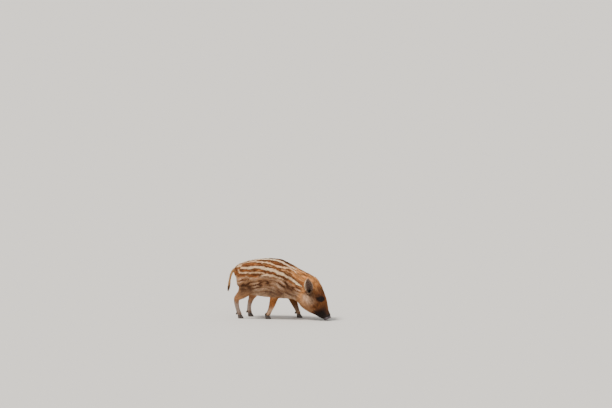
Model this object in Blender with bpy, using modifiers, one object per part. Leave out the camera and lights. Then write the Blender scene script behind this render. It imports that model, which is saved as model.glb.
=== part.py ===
"""A wild boar piglet, standing with its nose on the ground as it roots: a still, life-size model.

The body is lofted from a few named cross-sections, fused into one mass of flesh and coat, and
then parted by thin cuts into trunk, neck, head, lower jaw, tail and legs. Eyes, ears, the snout
disc, hooves and dewclaws are pieces of their own. The animal faces +X, its right side is -Y, and
it stands on z = 0. Sizes are in millimetres until mm() makes them metres.
"""

import math

import bmesh
import bpy
import numpy as np
from mathutils import Matrix, Vector

# Driving dimensions, in millimetres, to the tips of the coat.
BACK_HEIGHT = 283
TRUNK_HALF_WIDTH = 67
GAP = 0.35
FORE_TRACK = 35
HIND_TRACK = 37
HOOF_HEIGHT = 15
EYE_RADIUS = 8.0
DISC_RADIUS = 19.5
DISC_THICKNESS = 7.5
EAR_THICKNESS = 3.4

# How finely the body is made: rings along and corners round each loft, the fused body's voxel,
# how it is eased, and the triangles it is thinned to before it is parted.
TORSO_RINGS, TORSO_SIDES = 96, 48
LIMB_RINGS, LIMB_SIDES = 40, 20
TAIL_RINGS, TAIL_SIDES = 18, 10
VOXEL = 3.0
EASE_FACTOR, EASE_ROUNDS = 0.5, 7
BODY_TRIANGLES = 3400

# How far the cutting regions run out past the body to each side, past a leg, and past the snout.
BODY_REACH = 110
LEG_REACH = 95
SNOUT_REACH = 80

# The neck bends sideways to the animal's right, about an upright axis at the shoulders.
HEAD_TURN = math.radians(-11)
TURN_PIVOT = Vector((35, 0, 0))

# Cross-sections from rump to snout, each in a plane across the body: its crest and keel as
# (x, z), its half-width, its squareness (2 is an ellipse) and how far its widest part lies
# above (+) or below (-) the middle.
SECTIONS = {
    "rump_tip": ((-226, 220), (-219, 198), 15, 2.0, 0.0),
    "buttock": ((-217, 239), (-202, 175), 38, 2.1, 0.0),
    "croup": ((-194, 256), (-184, 138), 53, 2.2, 0.0),
    "loin": ((-143, 272), (-140, 110), 62, 2.2, -0.02),
    "flank": ((-91, 280), (-92, 101), TRUNK_HALF_WIDTH - 1, 2.2, -0.05),
    "belly": ((-42, BACK_HEIGHT - 1), (-43, 98), TRUNK_HALF_WIDTH, 2.2, -0.06),
    "girth": ((4, 277), (0, 95), 64, 2.2, -0.02),
    "shoulder": ((51, 256), (38, 93), 57, 2.1, 0.0),
    "neck": ((94, 233), (67, 88), 50, 2.1, 0.02),
    "nape": ((135, 217), (88, 73), 46, 2.1, 0.0),
    "poll": ((169, 198), (103, 56), 45.5, 2.2, -0.04),
    "brow": ((196, 168), (122, 44), 44, 2.3, -0.1),
    "eyes": ((212, 134), (143, 33), 38, 2.3, -0.16),
    "cheek": ((224, 105), (161, 26), 29, 2.3, -0.12),
    "muzzle": ((231, 76), (177, 19), 22.5, 2.3, -0.06),
    "lips": ((236, 48), (192, 11), 19.5, 2.3, -0.02),
    "snout": ((245, 20.6), (211, 5.6), 18, 2.1, 0.0),
    "snout_end": ((249, 13), (215, -2), 17, 2.1, 0.0),
}
TURN_FROM, TURN_TO = "girth", "nape"

# Each leg from the part hidden in the trunk down past the coronet, as rows of x, y inwards of
# its track, z, half-length fore and aft, and half-width.
RIGHT_FORE = (
    (24, -1, 200, 30, 14),
    (6, -9, 160, 35, 22),
    (-17, -4, 124, 27, 20),
    (-29, 0, 94, 20, 17),
    (-38, 0, 62, 16, 14),
    (-48, 0, 38, 12, 11.5),
    (-55, 0, 22, 13, 13),
    (-59, 0, 9, 12, 12.5),
)
LEFT_FORE = (
    (26, -1, 200, 30, 14),
    (22, -9, 160, 35, 22),
    (31, -4, 124, 26, 20),
    (47, 0, 92, 20, 17),
    (60, 0, 62, 16, 14),
    (70, 0, 38, 12, 11.5),
    (75, 0, 22, 13, 13),
    (79, 0, 9, 12, 12.5),
)
RIGHT_HIND = (
    (-172, 6, 222, 40, 23),
    (-163, 0, 184, 44, 30),
    (-158, -2, 151, 45, 27),
    (-176, -1, 119, 28, 20),
    (-203, -1, 95, 16.5, 14),
    (-205, 0, 68, 12.5, 11.5),
    (-199, 0, 40, 11.5, 11),
    (-193, 0, 23, 13, 13),
    (-189, 0, 9, 12, 12.5),
)
LEFT_HIND = (
    (-168, 6, 222, 40, 23),
    (-156, 0, 184, 46, 30),
    (-141, -2, 151, 45, 27),
    (-136, -1, 119, 29, 20),
    (-147, -1, 92, 17, 14),
    (-156, 0, 66, 12.5, 11.5),
    (-160, 0, 40, 11.5, 11),
    (-158, 0, 23, 13, 13),
    (-155, 0, 9, 12, 12.5),
)
# Each leg's name, side (right is -1), track, sections, the inner limit of its region, and the
# side outlines (x, z) of the regions that hold its upper and its lower part.
FOOT_CUT = HOOF_HEIGHT + GAP
LEGS = (
    (
        "foreleg_right", -1, FORE_TRACK, RIGHT_FORE, 14,
        ((-54, 120), (16, 120), (2, 58), (-72, 58)),
        ((-72, 58), (2, 58), (-24, -8), (-108, -8)),
    ),
    (
        "foreleg_left", 1, FORE_TRACK, LEFT_FORE, 14,
        ((-6, 118), (62, 118), (94, 58), (28, 58)),
        ((28, 58), (94, 58), (114, -8), (46, -8)),
    ),
    (
        "hindleg_right", -1, HIND_TRACK, RIGHT_HIND, 6,
        ((-232, 170), (-112, 170), (-114, 124), (-180, 80), (-232, 80)),
        ((-232, 80), (-180, 80), (-156, -8), (-226, -8)),
    ),
    (
        "hindleg_left", 1, HIND_TRACK, LEFT_HIND, 6,
        ((-196, 170), (-92, 170), (-88, 124), (-124, 78), (-184, 78)),
        ((-184, 78), (-124, 78), (-126, -8), (-196, -8)),
    ),
)
# The tail's line as (x, y, z, radius), hanging from the rump, with a small brush at its end.
TAIL = (
    (-204, 0, 234, 9.0),
    (-224, 1, 224, 7.2),
    (-238, 3, 204, 5.4),
    (-245, 5, 180, 4.8),
    (-249, 7, 156, 5.4),
    (-252, 8, 138, 4.8),
    (-254, 8, 127, 2.4),
)

# The trunk ends at the neck's region. The head's region starts at the nape and runs above and
# below it by these shares of the nape's height, and the lower jaw's starts at the mouth's corner.
NECK_REGION = ((61, 310), (47, 50), (310, -40), (310, 310))
HEAD_REGION_ABOVE = 0.6
HEAD_REGION_BELOW = 0.06
HEAD_REGION_LOW = (112, -30)
HEAD_REGION_FRONT = 330
MOUTH_CORNER = (174, 47)
MOUTH_FRONT = (206, 9)
JAW_REGION = (MOUTH_CORNER, MOUTH_FRONT, (222, -12), (200, -40), (130, 15))

# Places on the right side of the head before it is turned. The ears are cupped leaves along a
# line through three points, with rows of: place along the line, half the leaf's width round its
# curve, how far the curve runs round to each side in degrees, and how far it leans backwards.
EYE = (206, 100)
EYE_PROUD = 1.2
EAR_LINES = {
    "right": ((150, -27, 122), (154, -49, 158), (146, -59, 197)),
    "left": ((150, -27, 122), (152, -50, 155), (139, -66, 190)),
}
EAR_MOUTH = Vector((0.48, -0.87, -0.05))
EAR_ROWS, EAR_COLUMNS = 10, 8
EAR_LINE_STEPS = 40
EAR_LEAF = (
    (0.0, 13, 125, 0),
    (0.2, 20, 100, 0),
    (0.45, 25.5, 72, 0),
    (0.7, 22.5, 50, 1),
    (0.88, 13, 34, 4),
    (1.0, 4, 22, 7),
)

# The snout disc: the radius of its rounded rim, its face's dish as (share of the radius, depth),
# how much taller and wider than round it is, and its nostrils' pits.
DISC_RIM = 2.6
DISC_DISH = ((0, 1.0), (0.62, 0.9))
DISC_TALL, DISC_WIDE = 0.97, 1.03
DISC_SIDES, RIM_STEPS = 24, 4
NOSTRIL_OFFSET = 6.8
NOSTRIL_DROP = 1.0
NOSTRIL_RADIUS = 3.6
NOSTRIL_STRETCH = (1.35, 0.9, 1.2)

# Hooves, about the middle of each foot: rings as height, centre, half-length and half-width.
HOOF_RINGS = (
    (0, 4.5, 12.0, 5.3),
    (1.2, 4.6, 12.5, 5.7),
    (9, 1.4, 10.8, 5.7),
    (HOOF_HEIGHT, -0.8, 9.0, 5.2),
)
HOOF_SPREAD = 6.2
HOOF_SIDES = 12
TOE_TAPER = 0.22
DEWCLAW = {"proud": 1.5, "apart": 7.5, "height": 22, "length": 11, "radius": 4.0}
DEWCLAW_TIP = 0.35
DEWCLAW_SIDES = 10
DEWCLAW_TILT = math.radians(205)

COAT = (0.42, 0.24, 0.11)
LEG_COAT = (0.46, 0.27, 0.13)
FACE_COAT = (0.36, 0.19, 0.09)
TAIL_COAT = (0.30, 0.19, 0.11)
EAR_COAT = (0.33, 0.25, 0.20)
HORN = (0.045, 0.038, 0.035)
BARE_SKIN = (0.07, 0.055, 0.055)
EYE_BROWN = (0.012, 0.008, 0.006)


def mm(value):
    """A length or a vector given in millimetres, in metres."""
    return value * 0.001


def clear_scene():
    """Removes the startup scene's objects."""
    for old in list(bpy.data.objects):
        bpy.data.objects.remove(old)


def new_collection(name):
    """A collection linked to the scene."""
    made = bpy.data.collections.new(name)
    bpy.context.scene.collection.children.link(made)
    return made


def finish(name, colour, roughness):
    """A plain Principled material, made once."""
    made = bpy.data.materials.get(name)
    if made is None:
        made = bpy.data.materials.new(name)
        made.use_nodes = True
        shader = made.node_tree.nodes["Principled BSDF"]
        shader.inputs["Base Color"].default_value = (*colour, 1)
        shader.inputs["Roughness"].default_value = roughness
    return made


def add_object(name, mesh, collection, material=None):
    """An object for a mesh, at the origin."""
    made = bpy.data.objects.new(name, mesh)
    collection.objects.link(made)
    if material:
        mesh.materials.clear()
        mesh.materials.append(material)
    return made


def mesh_from(bm, name):
    """A bmesh as a mesh data block, with its normals facing out."""
    bmesh.ops.recalc_face_normals(bm, faces=bm.faces)
    mesh = bpy.data.meshes.new(name)
    bm.to_mesh(mesh)
    bm.free()
    return mesh


def evaluated(source, name):
    """The object's mesh with its modifiers applied, in world space."""
    bpy.context.view_layer.update()
    graph = bpy.context.evaluated_depsgraph_get()
    mesh = bpy.data.meshes.new_from_object(source.evaluated_get(graph))
    mesh.name = name
    mesh.transform(source.matrix_world)
    return mesh


def through(values, count):
    """count rows along the smooth curve (Catmull-Rom) through the rows of values."""
    knots = np.array(values, float)
    padded = np.vstack([2 * knots[0] - knots[1], knots, 2 * knots[-1] - knots[-2]])
    rows = []
    for place in np.linspace(0, len(knots) - 1, count):
        first = min(int(place), len(knots) - 2)
        t = place - first
        before, start, end, after = padded[first : first + 4]
        bend = (2 * before - 5 * start + 4 * end - after) * t**2
        twist = (3 * start - before - 3 * end + after) * t**3
        rows.append(0.5 * (2 * start + (end - before) * t + bend + twist))
    return np.array(rows)


def smoothstep(t):
    """0 before t = 0, 1 after t = 1 and an even slope between."""
    t = min(max(t, 0), 1)
    return t * t * (3 - 2 * t)


def superellipse(angle, squareness):
    """(across, up) on a unit superellipse, with the angle counted from its top."""
    across, up = math.sin(angle), math.cos(angle)
    power = 2 / squareness
    return math.copysign(abs(across) ** power, across), math.copysign(abs(up) ** power, up)


def loft(bm, rings):
    """Bridges rings of equal count into a closed tube with capped ends."""
    loops = [[bm.verts.new(mm(point)) for point in ring] for ring in rings]
    for near, far in zip(loops, loops[1:]):
        for i, corner in enumerate(near):
            j = (i + 1) % len(near)
            bm.faces.new((corner, near[j], far[j], far[i]))
    bm.faces.new(loops[0][::-1])
    bm.faces.new(loops[-1])


def turn(point, share=1.0):
    """A point of the straight head or neck, moved to where the bent neck carries it."""
    rotation = Matrix.Rotation(HEAD_TURN * share, 3, "Z")
    return rotation @ (Vector(point) - TURN_PIVOT) + TURN_PIVOT


def turned_frame():
    """The matrix, in metres, that turns what is made on the straight head."""
    pivot = mm(TURN_PIVOT)
    rotation = Matrix.Rotation(HEAD_TURN, 4, "Z")
    return Matrix.Translation(pivot) @ rotation @ Matrix.Translation(-pivot)


def on_side(vector, side):
    """A place given on the right side, on the given side (right is -1)."""
    return Vector((vector[0], vector[1] * -side, vector[2]))


def torso(bm):
    """Trunk, neck and head in one loft, with the neck's bend."""
    names = list(SECTIONS)
    rows = [(*crest, *keel, *rest) for crest, keel, *rest in SECTIONS.values()]
    turn_from, turn_to = names.index(TURN_FROM), names.index(TURN_TO)
    made = []
    for i, row in enumerate(through(rows, TORSO_RINGS)):
        crest, keel = Vector((row[0], 0, row[1])), Vector((row[2], 0, row[3]))
        half_width, squareness, rise = row[4:]
        place = i / (TORSO_RINGS - 1) * (len(names) - 1)
        share = smoothstep((place - turn_from) / (turn_to - turn_from))
        middle, half = (crest + keel) / 2, (crest - keel) / 2
        ring = []
        for k in range(TORSO_SIDES):
            across, up = superellipse(math.tau * k / TORSO_SIDES, squareness)
            side = half_width * across * (1 + rise * up)
            ring.append(turn(middle + half * up + Vector((0, side, 0)), share))
        made.append(ring)
    loft(bm, made)


def limb(bm, rows, rings, around):
    """A limb through rows of x, y, z, half-length and half-width, square to its own line."""
    line = through(rows, rings)
    made = []
    for i, row in enumerate(line):
        ahead, behind = line[min(i + 1, rings - 1)], line[max(i - 1, 0)]
        along = Vector((ahead - behind)[:3]).normalized()
        fore = Vector((0, 1, 0)).cross(along).normalized()
        side = along.cross(fore).normalized()
        ring = []
        for k in range(around):
            angle = math.tau * k / around
            across = fore * math.cos(angle) * row[3] + side * math.sin(angle) * row[4]
            ring.append(Vector(row[:3]) + across)
        made.append(ring)
    loft(bm, made)


def fused_body(helpers):
    """The whole flesh as one mesh: torso and legs, fused, eased and thinned."""
    bm = bmesh.new()
    torso(bm)
    for _, side, track, sections, *_ in LEGS:
        rows = [(x, side * (track - inward), z, a, b) for x, inward, z, a, b in sections]
        limb(bm, rows, LIMB_RINGS, LIMB_SIDES)
    rough = add_object("rough_body", mesh_from(bm, "rough_body"), helpers)
    remesh = rough.modifiers.new("fuse", "REMESH")
    remesh.mode = "VOXEL"
    remesh.voxel_size = mm(VOXEL)
    ease = rough.modifiers.new("ease", "SMOOTH")
    ease.factor, ease.iterations = EASE_FACTOR, EASE_ROUNDS
    fused = evaluated(rough, "fused_body")
    bpy.data.objects.remove(rough)
    thinned = add_object("thinned_body", fused, helpers)
    decimate = thinned.modifiers.new("thin", "DECIMATE")
    decimate.ratio = BODY_TRIANGLES / sum(len(face.vertices) - 2 for face in fused.polygons)
    body = evaluated(thinned, "body")
    bpy.data.objects.remove(thinned)
    return body


def hide(cutter):
    """Marks an object as a cutter that isn't part of the model."""
    cutter.hide_render = True
    cutter.display_type = "WIRE"
    return cutter


def cut(target, operation, cutter, solver="EXACT"):
    """A Boolean modifier on target."""
    modifier = target.modifiers.new(cutter.name, "BOOLEAN")
    modifier.operation = operation
    modifier.solver = solver
    modifier.object = cutter


def grown_outline(outline, by):
    """A convex outline moved outwards on every side."""
    points = [Vector(p) for p in outline]
    middle = sum(points, Vector((0, 0))) / len(points)
    grown = []
    for before, here, after in zip(points[-1:] + points[:-1], points, points[1:] + points[:1]):
        into, out = (here - before).normalized(), (after - here).normalized()
        normals = [Vector((d.y, -d.x)) for d in (into, out)]
        normals = [n if n.dot(here - middle) > 0 else -n for n in normals]
        miter = (normals[0] + normals[1]).normalized()
        grown.append(here + miter * by / miter.dot(normals[0]))
    return grown


def box_outline(back, front, bottom, top):
    """A rectangle's corners as (x, z)."""
    return ((back, bottom), (front, bottom), (front, top), (back, top))


def prism(name, outline, low, high, helpers, turned=False):
    """A hidden cutter: a side outline (x, z) carried from y = low to y = high."""
    bm = bmesh.new()
    rings = [[Vector((p[0], y, p[1])) for p in outline] for y in (low, high)]
    loft(bm, rings)
    if turned:
        bmesh.ops.transform(bm, matrix=turned_frame(), verts=bm.verts)
    return hide(add_object(name, mesh_from(bm, name), helpers))


class Region:
    """The space that holds one part of the body, and the same grown by the gap round it."""

    def __init__(self, name, outline, low, high, helpers, turned=False):
        self.name = name
        self.inside = prism(name + "_inside", outline, low, high, helpers, turned)
        grown = grown_outline(outline, GAP)
        self.around = prism(name + "_around", grown, low - GAP, high + GAP, helpers, turned)


def head_outline():
    """The side outline of the head's region, all that lies ahead of the nape."""
    crest, keel = (Vector(p) for p in SECTIONS["nape"][:2])
    top = crest + (crest - keel) * HEAD_REGION_ABOVE
    bottom = keel - (crest - keel) * HEAD_REGION_BELOW
    low_front = (HEAD_REGION_FRONT, HEAD_REGION_LOW[1])
    return (bottom, HEAD_REGION_LOW, low_front, (HEAD_REGION_FRONT, top.y), top)


def flesh_part(name, body, keep, leave, parts, material):
    """The body inside keep's region and outside the regions and cutters of leave.

    The cuts come one after another through the same flesh, where the exact solver loses some of
    them; the body and the cutters are all closed, as the manifold solver needs.
    """
    made = add_object(name, body.copy(), parts, material)
    if keep:
        cut(made, "INTERSECT", keep.inside, "MANIFOLD")
    for other in leave:
        cutter = other.around if isinstance(other, Region) else other
        cut(made, "DIFFERENCE", cutter, "MANIFOLD")
    return made


def ball(name, centre, radius, fineness, collection, material=None):
    """A round solid, in millimetres."""
    bm = bmesh.new()
    bmesh.ops.create_icosphere(bm, subdivisions=fineness, radius=mm(radius))
    bmesh.ops.translate(bm, vec=mm(Vector(centre)), verts=bm.verts)
    return add_object(name, mesh_from(bm, name), collection, material)


def eye_centre(body_object, side):
    """Where an eyeball sits, so that it stands a little proud of the turned head."""
    out = Matrix.Rotation(HEAD_TURN, 3, "Z") @ Vector((0, side, 0))
    start = turn((EYE[0], side * BODY_REACH, EYE[1]))
    found, place, normal, _ = body_object.ray_cast(mm(start), -out)
    if not found:
        raise RuntimeError("the eye's line misses the head")
    return place * 1000 + (normal + out).normalized() * (EYE_PROUD - EYE_RADIUS)


def ear(name, side, parts, material, body_around):
    """A cupped leaf, rolled at its root, broad in the middle and blunt-pointed at its tip."""
    points = EAR_LINES["right" if side < 0 else "left"]
    line = through([on_side(point, side) for point in points], EAR_LINE_STEPS + 1)
    along = Vector(line[-1] - line[0]).normalized()
    mouth = on_side(EAR_MOUTH, side)
    facing = (mouth - along * mouth.dot(along)).normalized()
    backwards = facing.cross(along) * side
    bm = bmesh.new()
    bmesh.ops.create_grid(bm, x_segments=EAR_ROWS, y_segments=EAR_COLUMNS, size=1)
    stations = [row[0] for row in EAR_LEAF]
    for vert in bm.verts:
        u, v = (vert.co.x + 1) / 2, vert.co.y
        width, roll, lean = (
            np.interp(u, stations, [row[k] for row in EAR_LEAF]) for k in (1, 2, 3)
        )
        angle = math.radians(roll)
        radius = width / angle
        middle = Vector(line[round(u * EAR_LINE_STEPS)])
        aside = backwards * (radius * math.sin(angle * v) + lean)
        vert.co = mm(middle + aside + facing * radius * (1 - math.cos(angle * v)))
    bmesh.ops.transform(bm, matrix=turned_frame(), verts=bm.verts)
    made = add_object(name, mesh_from(bm, name), parts, material)
    wall = made.modifiers.new("wall", "SOLIDIFY")
    wall.thickness, wall.offset = mm(EAR_THICKNESS), 0
    cut(made, "DIFFERENCE", body_around)


def tail(parts, material, body_around):
    """The hanging tail, from the rump to its brush."""
    bm = bmesh.new()
    limb(bm, [(*row, row[3]) for row in TAIL], TAIL_RINGS, TAIL_SIDES)
    made = add_object("tail", mesh_from(bm, "tail"), parts, material)
    cut(made, "DIFFERENCE", body_around)


def snout_disc(parts, material, helpers):
    """The bare disc at the end of the snout: a turned, slightly oval cushion with two nostrils."""
    crest, keel = (Vector((p[0], 0, p[1])) for p in SECTIONS["snout"][:2])
    up = (crest - keel).normalized()
    forward = up.cross(Vector((0, 1, 0)))
    forward = forward if forward.x > 0 else -forward
    half, flat = DISC_THICKNESS / 2, DISC_RADIUS - DISC_RIM
    profile = [(DISC_RADIUS * share, half - depth) for share, depth in DISC_DISH]
    for step in range(RIM_STEPS + 1):
        angle = math.pi / 2 - math.pi * step / RIM_STEPS
        profile.append((flat + DISC_RIM * math.cos(angle), half * math.sin(angle)))
    profile.append((0, -half))
    bm = bmesh.new()
    corners = [bm.verts.new(mm(Vector((radius, 0, height)))) for radius, height in profile]
    edges = [bm.edges.new(pair) for pair in zip(corners, corners[1:])]
    bmesh.ops.spin(
        bm, geom=corners + edges, angle=math.tau, steps=DISC_SIDES, axis=(0, 0, 1),
        cent=(0, 0, 0), use_merge=True,
    )
    bmesh.ops.remove_doubles(bm, verts=bm.verts, dist=1e-6)
    middle = (crest + keel) / 2 + forward * (half + GAP)
    side = up.cross(forward)
    rotation = Matrix((up * DISC_TALL, side * DISC_WIDE, forward)).transposed().to_4x4()
    placed = turned_frame() @ Matrix.Translation(mm(middle)) @ rotation
    bmesh.ops.transform(bm, matrix=placed, verts=bm.verts)
    made = add_object("snout_disc", mesh_from(bm, "snout_disc"), parts, material)
    for sign in (-1, 1):
        pit = bmesh.new()
        bmesh.ops.create_icosphere(pit, subdivisions=2, radius=mm(NOSTRIL_RADIUS))
        bmesh.ops.scale(pit, vec=NOSTRIL_STRETCH, verts=pit.verts)
        place = Matrix.Translation(mm(Vector((-NOSTRIL_DROP, sign * NOSTRIL_OFFSET, half))))
        bmesh.ops.transform(pit, matrix=placed @ place, verts=pit.verts)
        name = f"nostril_cutter_{'right' if sign < 0 else 'left'}"
        cut(made, "DIFFERENCE", hide(add_object(name, mesh_from(pit, name), helpers)))
    below = box_outline(middle.x - BODY_REACH, HEAD_REGION_FRONT, -BODY_REACH, 0)
    ground = prism("ground", below, -BODY_REACH, BODY_REACH, helpers)
    cut(made, "DIFFERENCE", ground)


def snout_region(helpers):
    """All that lies beyond the disc's back face, cut from the head and the jaw."""
    crest, keel = (Vector(p) for p in SECTIONS["snout"][:2])
    up = (crest - keel).normalized()
    forward = Vector((-up.y, up.x))
    forward = forward if forward.x > 0 else -forward
    top, bottom = crest + up * DISC_RADIUS, keel - up * DISC_RADIUS
    ahead = forward * SNOUT_REACH
    outline = (bottom, bottom + ahead, top + ahead, top)
    return prism("snout_front", outline, -SNOUT_REACH, SNOUT_REACH, helpers, turned=True)


def hoof(name, foot, offset, parts, material):
    """One main hoof: a blunt wedge on a flat sole, narrower at the coronet."""
    bm = bmesh.new()
    rings = []
    for height, centre, half_length, half_width in HOOF_RINGS:
        ring = []
        for k in range(HOOF_SIDES):
            angle = math.tau * k / HOOF_SIDES
            ahead, out = math.cos(angle), math.sin(angle)
            taper = 1 - TOE_TAPER * max(ahead, 0)
            point = (centre + half_length * ahead, offset + half_width * out * taper, height)
            ring.append(foot + Vector(point))
        rings.append(ring)
    loft(bm, rings)
    return add_object(name, mesh_from(bm, name), parts, material)


def dewclaw(name, place, parts, material, body_around):
    """A small blunt cone behind the fetlock, cut to meet the leg."""
    bm = bmesh.new()
    bmesh.ops.create_cone(
        bm, cap_ends=True, segments=DEWCLAW_SIDES, radius1=mm(DEWCLAW["radius"]),
        radius2=mm(DEWCLAW["radius"] * DEWCLAW_TIP), depth=mm(DEWCLAW["length"]),
    )
    tilt = Matrix.Rotation(DEWCLAW_TILT, 4, "Y")
    bmesh.ops.transform(bm, matrix=Matrix.Translation(mm(place)) @ tilt, verts=bm.verts)
    made = add_object(name, mesh_from(bm, name), parts, material)
    cut(made, "DIFFERENCE", body_around)


def feet(parts, body_around):
    """Two hooves and two dewclaws under every leg."""
    horn = finish("horn", HORN, 0.45)
    for leg_name, side, track, sections, *_ in LEGS:
        foot = Vector((sections[-1][0], side * track, 0))
        lowest = sections[::-1]
        heights = [row[2] for row in lowest]
        middle, half_length = (
            np.interp(DEWCLAW["height"], heights, [row[k] for row in lowest]) for k in (0, 3)
        )
        heel = Vector((middle - half_length - DEWCLAW["proud"], foot.y, DEWCLAW["height"]))
        for sign in (-1, 1):
            where = "outer" if sign == side else "inner"
            label = leg_name.replace("leg", "foot") + "_" + where
            hoof("hoof_" + label, foot, sign * HOOF_SPREAD, parts, horn)
            claw = heel + Vector((0, sign * DEWCLAW["apart"], 0))
            dewclaw("dewclaw_" + label, claw, parts, horn, body_around)


def centre_on_origin(parts):
    """Moves everything so that the model's box has its bottom's middle at the origin."""
    bpy.context.view_layer.update()
    graph = bpy.context.evaluated_depsgraph_get()
    corners = []
    for part in parts.objects:
        box = part.evaluated_get(graph).bound_box
        corners += [part.matrix_world @ Vector(corner) for corner in box]
    xs, ys = [c.x for c in corners], [c.y for c in corners]
    shift = Vector((-(min(xs) + max(xs)) / 2, -(min(ys) + max(ys)) / 2, 0))
    for thing in bpy.data.objects:
        thing.location += shift
    bpy.context.view_layer.update()


def main():
    """Builds every part."""
    clear_scene()
    helpers, parts = new_collection("cutters"), new_collection("wild_boar_piglet")
    body = fused_body(helpers)
    body_around = hide(add_object("body_around", body.copy(), helpers))
    swell = body_around.modifiers.new("swell", "DISPLACE")
    swell.strength, swell.mid_level = mm(GAP), 0
    whole = hide(add_object("whole_body", body.copy(), helpers))
    bpy.context.view_layer.update()

    coat, face = finish("coat", COAT, 0.8), finish("face_coat", FACE_COAT, 0.8)
    leg_coat, tail_coat = finish("leg_coat", LEG_COAT, 0.8), finish("tail_coat", TAIL_COAT, 0.8)
    eye_brown = finish("eye_brown", EYE_BROWN, 0.08)
    ear_coat, bare_skin = finish("ear_coat", EAR_COAT, 0.7), finish("bare_skin", BARE_SKIN, 0.4)

    reach = (-BODY_REACH, BODY_REACH)
    neck = Region("neck_region", NECK_REGION, *reach, helpers)
    head = Region("head_region", head_outline(), *reach, helpers, turned=True)
    jaw = Region("jaw_region", JAW_REGION, *reach, helpers, turned=True)
    snout_front = snout_region(helpers)
    low_box = box_outline(-HEAD_REGION_FRONT, HEAD_REGION_FRONT, -FOOT_CUT, FOOT_CUT)
    feet_space = prism("feet_space", low_box, *reach, helpers)
    uppers, lowers = [], []
    for name, side, _, _, inner, upper_outline, lower_outline in LEGS:
        low, high = sorted((side * inner, side * LEG_REACH))
        uppers.append(Region(name + "_upper", upper_outline, low, high, helpers))
        low, high = sorted((side, side * LEG_REACH))
        lowers.append(Region(name + "_lower", lower_outline, low, high, helpers))

    sockets = []
    for side, where in ((-1, "right"), (1, "left")):
        centre = eye_centre(whole, side)
        ball("eye_" + where, centre, EYE_RADIUS, 3, parts, eye_brown)
        socket = ball("socket_" + where, centre, EYE_RADIUS + 2 * GAP, 3, helpers)
        sockets.append(hide(socket))
        ear("ear_" + where, side, parts, ear_coat, body_around)

    legs = uppers + lowers
    flesh_part("trunk", body, None, [neck, head, *legs], parts, coat)
    flesh_part("neck", body, neck, [head, *legs], parts, coat)
    flesh_part("head", body, head, [jaw, snout_front, *lowers, *sockets], parts, face)
    flesh_part("lower_jaw", body, jaw, [snout_front], parts, face)
    tail(parts, tail_coat, body_around)
    for (name, *_), upper, lower in zip(LEGS, uppers, lowers):
        flesh_part(name + "_upper", body, upper, [lower], parts, leg_coat)
        flesh_part(name + "_lower", body, lower, [feet_space], parts, leg_coat)
    snout_disc(parts, bare_skin, helpers)
    feet(parts, body_around)
    centre_on_origin(parts)


main()
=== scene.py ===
"""The looks of a wild boar piglet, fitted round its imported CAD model.

One skin, drawn in from the CAD model by the depth of the coat, carries the animal's markings.
Tufts of hair stand on it, lie the way the coat lies and reach out to the CAD model's outline.
Eyes, snout disc, hooves and dewclaws are finer pieces in the places of their CAD nodes.

Lengths are in millimetres, and MM brings them to the frame's metres. The animal faces +X and its
right side is -Y. Its neck and head are described as they would lie with the neck straight, and
Anatomy.place bends them to their places.
"""

import logging
import math
from dataclasses import dataclass
from enum import Enum

import bmesh
import bpy
import numpy as np
from mathutils import Matrix, Vector
from mathutils.bvhtree import BVHTree


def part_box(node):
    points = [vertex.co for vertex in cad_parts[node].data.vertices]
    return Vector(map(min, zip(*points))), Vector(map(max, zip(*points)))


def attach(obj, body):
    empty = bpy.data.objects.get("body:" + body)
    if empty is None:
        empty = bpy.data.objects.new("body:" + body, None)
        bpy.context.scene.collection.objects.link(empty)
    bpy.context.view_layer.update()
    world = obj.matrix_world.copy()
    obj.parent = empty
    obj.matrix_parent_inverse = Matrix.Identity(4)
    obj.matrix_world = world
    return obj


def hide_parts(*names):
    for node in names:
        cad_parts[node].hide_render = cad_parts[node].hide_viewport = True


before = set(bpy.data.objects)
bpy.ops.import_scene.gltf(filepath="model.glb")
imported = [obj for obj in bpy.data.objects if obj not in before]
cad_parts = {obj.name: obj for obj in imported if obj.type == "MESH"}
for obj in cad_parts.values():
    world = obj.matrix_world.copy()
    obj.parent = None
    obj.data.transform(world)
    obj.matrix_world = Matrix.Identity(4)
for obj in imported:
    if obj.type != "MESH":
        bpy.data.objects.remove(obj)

MM = 0.001
TINT = "tint"
BARE = "bare"
LAY = "lay"
BAKE_MAP = "OFBake"
LOG = logging.getLogger("piglet")

Array = np.ndarray
Colour = tuple[float, float, float]
Mesh = bpy.types.Mesh
Material = bpy.types.Material


# ---------------- numbers and noise


def ramp(low: float, high: float, values: Array) -> Array:
    """A smooth step from 0 at low to 1 at high, or down again where low is above high."""
    t = np.clip((np.asarray(values, float) - low) / (high - low), 0, 1)
    return t * t * (3 - 2 * t)


def bell(values: Array, middle: float | Array, width: float | Array) -> Array:
    """A bell curve, 1 at its middle and about a third at its width from there."""
    return np.exp(-(((values - middle) / width) ** 2))


def unit(vectors: Array) -> Array:
    """Vectors brought to length one."""
    return vectors / np.maximum(np.linalg.norm(vectors, axis=-1, keepdims=True), 1e-12)


def dots(a: Array, b: Array) -> Array:
    """The dot product of each pair of rows."""
    return np.einsum("ij,ij->i", a, np.broadcast_to(b, a.shape))


def layered(base: Array | Colour, *layers: tuple[Array | Colour, Array]) -> Array:
    """Colours with others laid over them in turn.

    Args:
        base: A colour for each place, or one for all.
        layers: The colours to move towards, each with how far each place moves, from 0 to 1.

    Returns:
        The new colours.
    """
    for colour, share in layers:
        base = base + (np.array(colour) - base) * np.clip(share, 0, 1)[:, None]
    return base


def flattened(ways: Array, normals: Array) -> Array:
    """Directions laid flat on a surface, by its normals."""
    return unit(ways - normals * dots(ways, normals)[:, None])


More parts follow.
